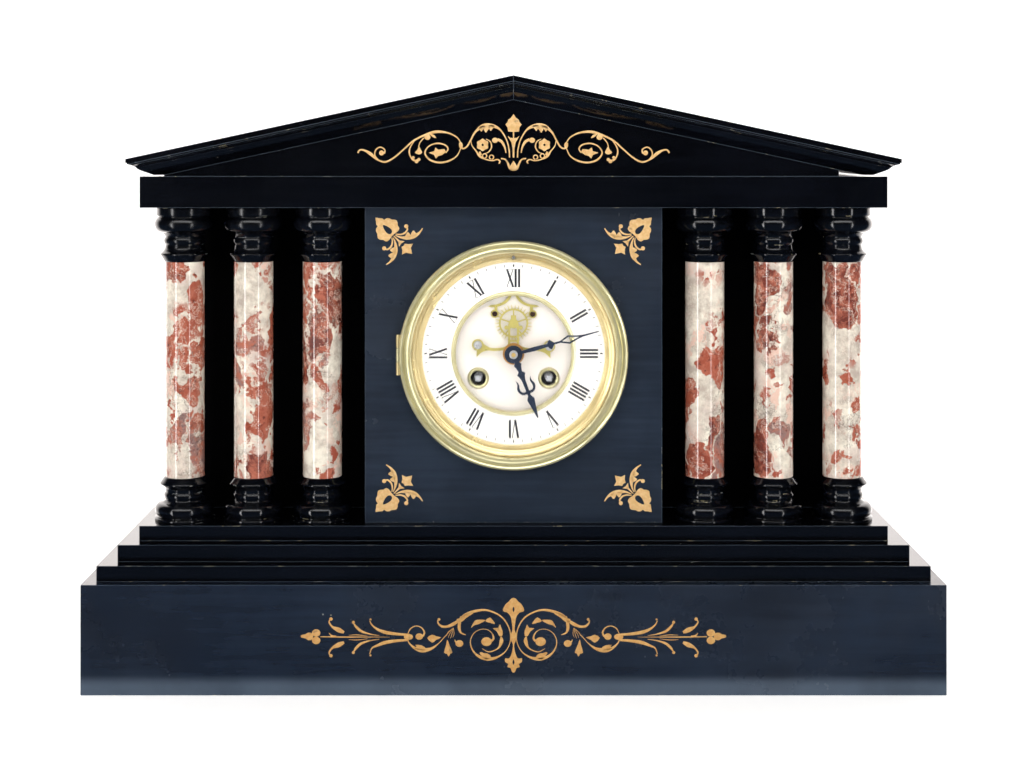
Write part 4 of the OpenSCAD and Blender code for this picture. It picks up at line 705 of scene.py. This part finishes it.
def corner_ornament(gold, name, right, up):
    """A leaf in one corner of the dial block, with five fronds and a star towards the dial."""
    x = PANEL_HIGH.x if right > 0 else PANEL_LOW.x
    z = PANEL_HIGH.z if up > 0 else PANEL_LOW.z
    d = Relief(name, x, PANEL_LOW.y, z, GILT)

    def place(points):
        return [(-right * p[0], -up * p[1], *p[2:]) for p in points]

    half = [(6.4, 6.4), (8.6, 6.7), (10.8, 6.9), (11.6, 7.8), (13.0, 6.8), (15.0, 6.8), (16.2, 7.5),
            (18.9, 7.8),
            (19.9, 9.4), (20.0, 11.2), (21.0, 12.9), (20.0, 14.8), (18.0, 16.2)]
    outline = half + [(b, a) for a, b in reversed(half[1:])]
    drop = [(10.9, 10.9), (13.4, 11.6), (15.6, 13.1), (16.5, 14.6), (16.1, 16.1), (14.6, 16.5), (13.1, 15.6),
            (11.6, 13.4)]
    d.plate(place(outline), holes=[place(drop)], smooth=2)
    for turned in (False, True):
        def across(points):
            return place([(p[1], p[0], *p[2:]) for p in points] if turned else points)

        d.stroke(across([(18.6, 16.4, 0.5), (21.6, 16.7, 0.9), (24.2, 15.8, 1.1), (25.8, 13.8, 1.0),
                         (25.6, 12.4, 0.9)]))
        d.ball(*across([(25.2, 11.7)])[0], 1.25)
        d.stroke(across([(18.6, 17.2, 0.5), (22.0, 18.5, 1.2), (26.0, 18.7, 2.4), (30.0, 17.6, 2.6),
                         (33.0, 15.8, 1.3), (35.2, 12.9, 0.6)]))
        for u, v in ((26.2, 15.6), (29.6, 14.6)):
            d.plate(across([(u - 1.8, v + 2.8), (u - 0.3, v - 0.3), (u + 0.9, v + 0.4), (u + 1.8, v + 2.4)]),
                    smooth=2)
    d.stroke(place([(17.6, 17.6, 0.5), (19.6, 19.6, 0.9), (21.4, 21.4, 1.6)]))
    d.plate(place([(20.4, 21.2), (21.2, 20.4), (24.2, 20.8), (22.2, 22.2), (20.8, 24.2)]), smooth=0)
    d.plate(place([(22.3, 24.3), (23.6, 23.6), (24.3, 22.3), (26.6, 22.6), (29.4, 22.3), (28.0, 24.8),
                   (28.8, 28.6), (25.0, 27.8), (22.6, 29.0), (22.8, 26.4)]), smooth=0)
    d.done(gold)


# ---- dial markings ---------------------------------------------------------------

def glyph(letter):
    """Strokes of one numeral letter, ((u0, v0), (u1, v1), width) with v from 0 to 1, and its advance."""
    if letter == "I":
        return [((0, 0), (0, 1), THICK)], 2.15
    if letter == "V":
        return [((-1.75, 1), (0.1, 0), THICK), ((1.8, 1), (0.2, 0), THIN)], 4.5
    return [((-1.9, 1), (1.9, 0), THICK), ((1.9, 1), (-1.9, 0), THIN)], 4.7


def dial_markings(paint):
    d = Relief("dial_markings", DIAL.x, dial_low.y, DIAL.z, PAINT)
    tall = NUMERAL_OUT - NUMERAL_IN

    def bar(hour_angle, a, b, width):
        """A straight bar in a numeral's own upright frame, turned to its place on the dial."""
        along = Vector((b[0] - a[0], b[1] - a[1])).normalized()
        side = Vector((width / 2, 0)) if abs(along.y) > 0.3 else Vector((0, width / 2))
        corners = [Vector(a) - side, Vector(a) + side, Vector(b) + side, Vector(b) - side]
        cos, sin = math.cos(hour_angle), math.sin(hour_angle)
        d.plate([(p.x * cos + p.y * sin, p.y * cos - p.x * sin) for p in corners], smooth=0)

    for hour, numeral in enumerate(NUMERALS):
        angle = hour * FIVE_MINUTES
        letters = [glyph(letter) for letter in numeral]
        u = -sum(advance for _, advance in letters) / 2
        for strokes, advance in letters:
            centre = u + advance / 2
            for (u0, v0), (u1, v1), width in strokes:
                bar(angle, (centre + u0, NUMERAL_IN + v0 * tall), (centre + u1, NUMERAL_IN + v1 * tall),
                    width)
            for v in (NUMERAL_IN, NUMERAL_OUT):
                bar(angle, (centre - advance * 0.36, v), (centre + advance * 0.36, v), THIN / 2)
            u += advance
    for minute in range(60):
        width = HOUR_TICK if minute % 5 == 0 else MINUTE_TICK
        bar(minute * FIVE_MINUTES / 5, (0, TICK_IN), (0, TICK_OUT), width)
    d.done(paint)


# ---- everything ------------------------------------------------------------------

make_camera()
make_floor()
make_lights()

polished_slate = slate("slate_polished")
turned_slate = slate("slate_turned", rounding=1.6 * MM)
worn_slate = slate("slate_worn", 0.20, rgb(17, 25, 38), rgb(27, 37, 52), haze=0.62)
dial_slate = slate("slate_dial", 0.20, rgb(26, 34, 46), rgb(36, 46, 60))
recess_slate = slate("slate_recess", 0.5, rgb(1, 1, 2), rgb(2, 2, 3), shine=0.04)
paint_nodes(worn_slate, "plinth_front", "plinth_ends", "plinth_back", "plinth_base")
paint_nodes(dial_slate, "dial_panel")
paint_nodes(recess_slate, "wing_walls", "dial_block_sides")
paint_nodes(polished_slate, "entablature", "tympana", "step_lower", "step_middle", "step_upper", "back_panel",
            "roof_left", "roof_right")
paint_nodes(turned_slate, "column_capitals", "column_bases")
paint_nodes(marble("marble"), "column_shafts")

brass = metal("brass", rgb(228, 221, 174), rgb(156, 142, 84), 0.12, 0.28)
gilt = metal("gilt", rgb(232, 213, 158), rgb(176, 140, 76), 0.16, 0.2)
bridge = metal("bridge", OLIVE, rgb(150, 130, 60), 0.26,
               marks=bridge_marks)
anchor_metal = metal("anchor", OLIVE, rgb(150, 130, 60), 0.26,
                     marks=stone_marks)
movement_brass = metal("movement_brass", rgb(214, 184, 112), rgb(146, 112, 58), 0.24)
steel = metal("steel", rgb(176, 178, 182), rgb(110, 104, 98), 0.22, 0.3)
winding_steel = metal("winding_steel", STEEL_WHITE, rgb(120, 118, 116), 0.2, 0.25, marks=ratchet_marks)

blued_minute = metal("blued_minute", rgb(44, 56, 76), rgb(28, 32, 44), 0.28, 0.4, marks=washer_marks)
blued_hour = metal("blued_hour", rgb(44, 56, 76), rgb(28, 32, 44), 0.28, 0.4,
                   marks=hour_marks)
bell_metal = metal("bell_metal", rgb(196, 186, 160), rgb(130, 116, 86), 0.14)
paint_nodes(brass, "bezel", "bezel_hinge_pin", "inner_ring", "winding_grommets", "back_door",
            "movement_straps")
paint_nodes(gilt, "sight_ring")
paint_nodes(bridge, "escapement_cock", "escape_wheel")
paint_nodes(anchor_metal, "anchor")
paint_nodes(movement_brass, "front_plate", "back_plate", "pillars", "going_barrel", "strike_barrel",
            "second_wheel", "centre_wheel", "third_wheel", "minute_wheel", "strike_second_wheel", "pin_wheel",
            "locking_wheel", "warning_wheel", "fly", "suspension_cock", "bell_stand", "pendulum_bob")
paint_nodes(steel, "going_mainspring", "strike_mainspring", "going_click", "strike_click", "regulator_arbor",
            "hammer", "pendulum_rod")
paint_nodes(winding_steel, "going_winding_arbor", "strike_winding_arbor")
paint_nodes(blued_minute, "minute_hand")
paint_nodes(blued_hour, "hour_hand")
paint_nodes(bell_metal, "bell")
paint_nodes(enamel("enamel_white", rgb(250, 249, 246), rgb(246, 244, 238)), "chapter_ring")
paint_nodes(enamel("enamel_centre", rgb(240, 236, 228), rgb(234, 226, 220)), "centre_dial")
paint_nodes(clear_glass("bezel_glass"), "bezel_glass")

plinth_gold = gilding("gilding_plinth", rgb(206, 152, 84), rgb(222, 178, 112))
case_gold = gilding("gilding_case", rgb(224, 178, 112), rgb(240, 204, 148))
plinth_ornament(plinth_gold)
pediment_ornament(case_gold)
for name, right, up in (("corner_gilding_tl", -1, 1), ("corner_gilding_tr", 1, 1),
                        ("corner_gilding_bl", -1, -1), ("corner_gilding_br", 1, -1)):
    corner_ornament(case_gold, name, right, up)
dial_markings(dark_paint("dial_paint"))
